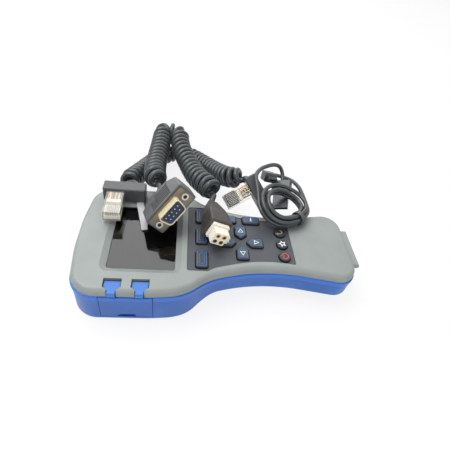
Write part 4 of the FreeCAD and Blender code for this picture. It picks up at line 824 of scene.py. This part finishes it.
# Painted shade: a dark disc deep in each cavity darkens its bottom.
CAVITY_SHADE_FLOOR = (-3.0, -2.5)
CAVITY_SHADE_RADIUS = 1.06
CAVITY_PLACES = (-2.25, 2.25)
shape = bmesh.new()
block_at(shape, *BOOT)
everything = [*shape.verts, *shape.edges, *shape.faces]
bmesh.ops.bisect_plane(shape, geom=everything, plane_co=(BOOT_CUT * MM, 0, 0), plane_no=(1, 0, 0))
for station, narrow in BOOT_NECKS:
    ring = [v for v in shape.verts if abs(v.co.x - station * MM) < MM]
    bmesh.ops.scale(shape, vec=(1, narrow, narrow), verts=ring)
round_off(shape, shape.edges[:], BOOT_ROUND, segments=4)
boot_sleeve = new_piece("boot_sleeve", shape, [boot_rubber], "handset", FOUR_WAY)
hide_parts("lead_b_boot")

shape = bmesh.new()
for y in CAVITY_PLACES:
    for z in CAVITY_PLACES:
        loop = [shape.verts.new((x * MM, y * MM, (z + r) * MM)) for x, r in SLEEVE]
        sides = [shape.edges.new((a, b)) for a, b in zip(loop, loop[1:] + loop[:1])]
        bmesh.ops.spin(shape, geom=[*loop, *sides], cent=(0, y * MM, z * MM), axis=(1, 0, 0),
                       angle=math.tau, steps=20, use_merge=True)
        rod_along(shape, *CAVITY_SHADE_FLOOR, y, z, CAVITY_SHADE_RADIUS, 1)
new_piece("four_way_contacts", shape, [gold, socket_black_and_shade], "handset", FOUR_WAY)
print("cavities", len(CAVITY_PLACES) ** 2)

# %% [markdown]
# ## The latch of the first block
# A pale spring latch comes out under the block and rests on the glass. It is a strip that narrows to its
# tip, so a block with two smaller end corners and round edges is enough.

# %% Block latch
LATCH_ROOT = Vector((-58.8, 29.6, 31.9))
LATCH_TIP = Vector((-53.2, 5.6, 28.75))
LATCH_LEVEL = Vector((1, 0.2, 0))
LATCH_HALF_WIDTH = 2.6
LATCH_HALF_HEIGHT = 0.5
LATCH_NARROW = 0.8
LATCH_ROUND = 0.35
latch_length = (LATCH_TIP - LATCH_ROOT).length
latch_ahead = (LATCH_TIP - LATCH_ROOT).normalized()
latch_up = LATCH_LEVEL.cross(latch_ahead).normalized()
latch_across = latch_up.cross(latch_ahead)
latch_place = place_matrix(LATCH_ROOT, latch_ahead, latch_across, latch_up)
shape = bmesh.new()
block_at(shape, (0, -LATCH_HALF_WIDTH, -LATCH_HALF_HEIGHT),
         (latch_length, LATCH_HALF_WIDTH, LATCH_HALF_HEIGHT))
tip = [v for v in shape.verts if v.co.x > latch_length / 2 * MM]
bmesh.ops.scale(shape, vec=(1, LATCH_NARROW, 1), verts=tip)
round_off(shape, shape.edges[:], LATCH_ROUND, segments=3)
new_piece("block_latch", shape, [latch_plastic], "handset", latch_place)
print("latch", round(latch_length, 1), "mm")

# %% [markdown]
# ## Routes and cords
# A cord is steered by a few given points. A NURBS spline of order 3 draws a smooth line between
# them, as a cord does. A curled cord winds round such a line, so the line is read back as points, and a
# loop turns a short arm round it. Where the line bends, the turns on the outside spread, as the real ones
# do.

# %% Helpers for cords
CORD = 0.0042
CURL_RADIUS = 0.0065
CURL_OPENING = 0.010
CURL_CLOSING = 0.009
LEAD_PITCH = 0.018
TURN_POINTS = 12
ROUTE_STEP = 0.0003
ROUTE_SMOOTHNESS = 24
FIRST_ARM = (0.3, 0.2, 0.93)


def smooth_spline(data, points, closed=False):
    """Adds a smooth spline with these points as its control points."""
    spline = data.splines.new("NURBS")
    spline.points.add(len(points) - 1)
    for point, place in zip(spline.points, points):
        point.co = (*place, 1.0)
    spline.order_u = 3
    spline.use_cyclic_u = closed
    spline.use_endpoint_u = not closed


def read_line(points, closed=False):
    """The smooth line that a route steers, as points."""
    data = bpy.data.curves.new("route", "CURVE")
    data.dimensions = "3D"
    data.resolution_u = ROUTE_SMOOTHNESS
    smooth_spline(data, points, closed)
    holder = bpy.data.objects.new("route", data)
    mesh = bpy.data.meshes.new_from_object(holder)
    line = np.array([v.co for v in mesh.vertices])
    bpy.data.objects.remove(holder)
    bpy.data.meshes.remove(mesh)
    return np.vstack([line, line[:1]]) if closed else line


def even_line(line, step):
    """The same line with points about step apart, and its length."""
    along = np.concatenate([[0], np.cumsum(np.linalg.norm(np.diff(line, axis=0), axis=1))])
    places = np.linspace(0, along[-1], int(along[-1] / step) + 1)
    return np.stack([np.interp(places, along, line[:, k]) for k in range(3)], axis=1), along[-1]


def carried_arms(line):
    """Directions along a line, and an arm square to it that turns as little as possible."""
    ways = np.gradient(line, axis=0)
    ways /= np.linalg.norm(ways, axis=1)[:, None]
    arm = np.cross(ways[0], FIRST_ARM)
    arms = []
    for way in ways:
        arm = arm - way * np.dot(arm, way)
        arm = arm / np.linalg.norm(arm)
        arms.append(arm)
    return ways, np.array(arms)


def beside(centre, way, arm, reach, angle):
    """A point beside a line, at some reach and angle round its direction."""
    side = np.cross(way, arm)
    return Vector(centre + reach * (math.cos(angle) * arm + math.sin(angle) * side))


def curl(points, pitches):
    """Points of a cord that is curled round this route, and uncurls over a length at each end.

    pitches gives the distance between turns at even places along the route. Where the turns are small they
    also stand further apart, so that the cord bends gently into its straight end."""
    line, length = even_line(read_line(points), ROUTE_STEP)
    ways, arms = carried_arms(line)
    runs = np.linspace(0, length, len(line))
    grown = np.clip(np.minimum(runs / CURL_OPENING, (length - runs) / CURL_CLOSING), 0, 1)
    ease = grown * grown * (3 - 2 * grown)
    pitch = np.interp(runs, np.linspace(0, length, len(pitches)), pitches)
    pitch = pitch + (LEAD_PITCH - pitch) * (1 - ease)
    turns = np.concatenate([[0], np.cumsum(np.diff(runs) / pitch[1:])])
    count = int(turns[-1] * TURN_POINTS)
    made = []
    for step in range(count + 1):
        run = float(np.interp(turns[-1] * step / count, turns, runs))
        i = min(len(line) - 1, int(run / length * (len(line) - 1) + 0.5))
        reach = CURL_RADIUS / math.cos(math.pi / TURN_POINTS) * ease[i]
        made.append(beside(line[i], ways[i], arms[i], reach, math.tau * step / TURN_POINTS))
    return made


def round_cord(name, points, thickness, smoothness=3):
    """A round cord whose smooth line has these control points."""
    data = bpy.data.curves.new(name, "CURVE")
    data.dimensions = "3D"
    data.resolution_u = smoothness
    data.bevel_depth = thickness / 2
    data.bevel_resolution = 3
    data.use_fill_caps = True
    smooth_spline(data, points)
    data.materials.append(cord_jacket)
    cord = bpy.data.objects.new(name, data)
    bpy.context.scene.collection.objects.link(cord)
    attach(cord, "handset")
    return cord


def cord_length(points):
    """The length of the smooth line with these control points."""
    line = read_line(points)
    return float(np.linalg.norm(np.diff(line, axis=0), axis=1).sum())


# %% [markdown]
# ## The curly lead of the two connectors
# It joins the nine-way connector on the screen to the white four-way housing on the keypad. Its cord
# leaves the hood, runs out past the far side of the handset, folds back on itself there and returns to
# the boot.

# %% Front curly lead
NECK_A = metres(((-44.29, 36.56, 38.45), (-45.0, 39.0, 38.2)))
COIL_A = metres((
    (-46.2, 41.8, 38.8), (-49.2, 48.2, 39.4), (-50.8, 57.4, 37.3), (-51.4, 73.0, 34.6), (-50.7, 91.0, 32.0),
    (-50.2, 108.0, 29.8), (-49.8, 124.0, 28.2), (-49.4, 139.0, 27.4), (-33.6, 134.6, 27.4),
    (-33.4, 120.0, 28.6), (-31.6, 106.0, 30.1), (-28.0, 91.0, 32.0), (-23.4, 73.0, 34.8),
    (-18.6, 56.0, 38.2), (-12.0, 43.6, 41.4), (-7.4, 36.8, 42.2), (-6.8, 29.8, 41.6)))
NECK_B = metres(((-7.6, 27.4, 41.0), (-8.2, 25.6, 40.6), (-8.43, 23.68, 40.32)))
PITCHES_A = (0.0050, 0.0056, 0.0066, 0.0072, 0.0072, 0.0072, 0.0066, 0.0054, 0.0047)
cord_a_points = NECK_A + curl(COIL_A, PITCHES_A) + NECK_B
cord_a = round_cord("lead_a_cord", cord_a_points, CORD)
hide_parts("lead_a_neck", "lead_a_coil", "lead_b_neck")
length_a = round(cord_length(cord_a_points), 2)
print("front curly cord", length_a, "m of cord,", len(cord_a_points), "points")

# %% [markdown]
# ## The curly lead of the two clear plugs
# A second curly cord joins the two black blocks that hold the clear plugs. It drops off the far edge of
# the handset, lies on the table in an arch behind the other cord, and climbs back up to the second block.

# %% Rear curly lead
TAIL_A = metres(((-62.0, 38.8, 33.3), (-62.0, 43.6, 33.5), (-63.4, 48.6, 33.7), (-67.4, 52.4, 31.6),
                 (-71.0, 54.6, 28.4)))
COIL_B = metres((
    (-72.6, 57.2, 25.8), (-72.6, 62.0, 23.6), (-71.0, 67.0, 22.4), (-69.0, 72.0, 21.2), (-65.0, 84.0, 17.8),
    (-60.4, 99.0, 13.4), (-54.8, 114.0, 9.9), (-47.6, 125.8, 8.8), (-38.0, 131.4, 8.8), (-27.6, 130.0, 8.9),
    (-17.8, 119.0, 11.6), (-9.0, 101.0, 18.0), (-1.2, 82.0, 25.8), (5.6, 66.6, 33.0), (10.4, 61.2, 36.8),
    (19.8, 56.4, 40.7)))
TAIL_B = metres(((21.4, 55.3, 41.0), (23.17, 54.09, 41.02)))
PITCHES_B = (0.0050, 0.0056, 0.0062, 0.0066, 0.0066, 0.0062, 0.0056, 0.0050, 0.0047)
cord_b_points = TAIL_A + curl(COIL_B, PITCHES_B) + TAIL_B
cord_b = round_cord("lead_b_cord", cord_b_points, CORD)
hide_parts("lead_a_tail", "lead_b_coil", "lead_b_tail")
length_b = round(cord_length(cord_b_points), 2)
print("rear curly cord", length_b, "m of cord,", len(cord_b_points), "points")

# %% [markdown]
# ## The wound USB lead
# A short lead is wound into a ring and held by a band. Five strands of a bundle pack as a pentagon, so
# each turn moves on by a fifth of a circle round the ring's smooth line. Away from the band the strands
# stand apart.

# %% Wound USB lead
USB_CORD = 0.0032
USB_SMOOTHNESS = 8
RING = metres((
    (42.9, 13.4, 36.8), (52.0, 15.0, 37.0), (60.2, 21.4, 36.9), (64.2, 29.9, 36.6), (61.4, 38.6, 37.0),
    (54.0, 43.6, 39.4), (44.4, 44.0, 42.2), (35.0, 39.6, 44.8), (29.0, 30.0, 44.8), (30.0, 19.6, 42.2),
    (35.4, 14.4, 39.0)))
FLAT_TAIL = metres((
    (51.5, 60.79, 36.19), (52.09, 64.92, 38.12), (51.6, 68.4, 41.0), (48.8, 69.8, 45.2), (43.4, 67.6, 48.2),
    (36.4, 62.6, 49.8), (29.2, 56.4, 50.6), (24.8, 48.4, 50.4), (25.6, 39.24, 48.0)))
MINI_TAIL = metres((
    (63.08, 48.25, 39.89), (62.6, 55.0, 38.4), (60.4, 66.0, 35.4), (52.6, 73.6, 32.6), (43.4, 74.2, 34.0),
    (38.04, 69.16, 36.86), (38.5, 65.02, 38.79)))
STRANDS = 5
STRAND_OFFSET = 0.0027
STRAND_ANGLE = 0.6
LOOSENESS = 0.0007
LOOSE_AFTER = 0.03
LOOSE_WAVE = 2.4
RING_TURNS = 4.62
RING_POINTS = 18
RING_STEP = 0.0005
ring_line = even_line(read_line(RING, closed=True), RING_STEP)[0]
ring_ways, ring_arms = carried_arms(ring_line)
band = (RING[1] + RING[2]) / 2
ring_start = (RING[7] + RING[8]) / 2
begin = int(np.argmin(np.linalg.norm(ring_line - np.array(ring_start), axis=1)))
ring_points = []
for step in range(1, int(RING_TURNS * RING_POINTS) + 1):
    turns = step / RING_POINTS
    i = (begin + int(turns * (len(ring_line) - 1))) % (len(ring_line) - 1)
    away = min(1.0, (Vector(ring_line[i]) - band).length / LOOSE_AFTER)
    offset = STRAND_OFFSET + LOOSENESS * away * (1 + math.sin(LOOSE_WAVE * turns))
    angle = STRAND_ANGLE + math.tau / STRANDS * turns
    ring_points.append(beside(ring_line[i], ring_ways[i], ring_arms[i], offset, angle))
usb_points = FLAT_TAIL + ring_points + MINI_TAIL
usb_cord = round_cord("usb_cord", usb_points, USB_CORD, USB_SMOOTHNESS)
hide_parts("usb_lead_hank", "usb_a_tail", "usb_mini_tail")
usb_length = round(cord_length(usb_points), 3)
print("USB cord", usb_length, "m")
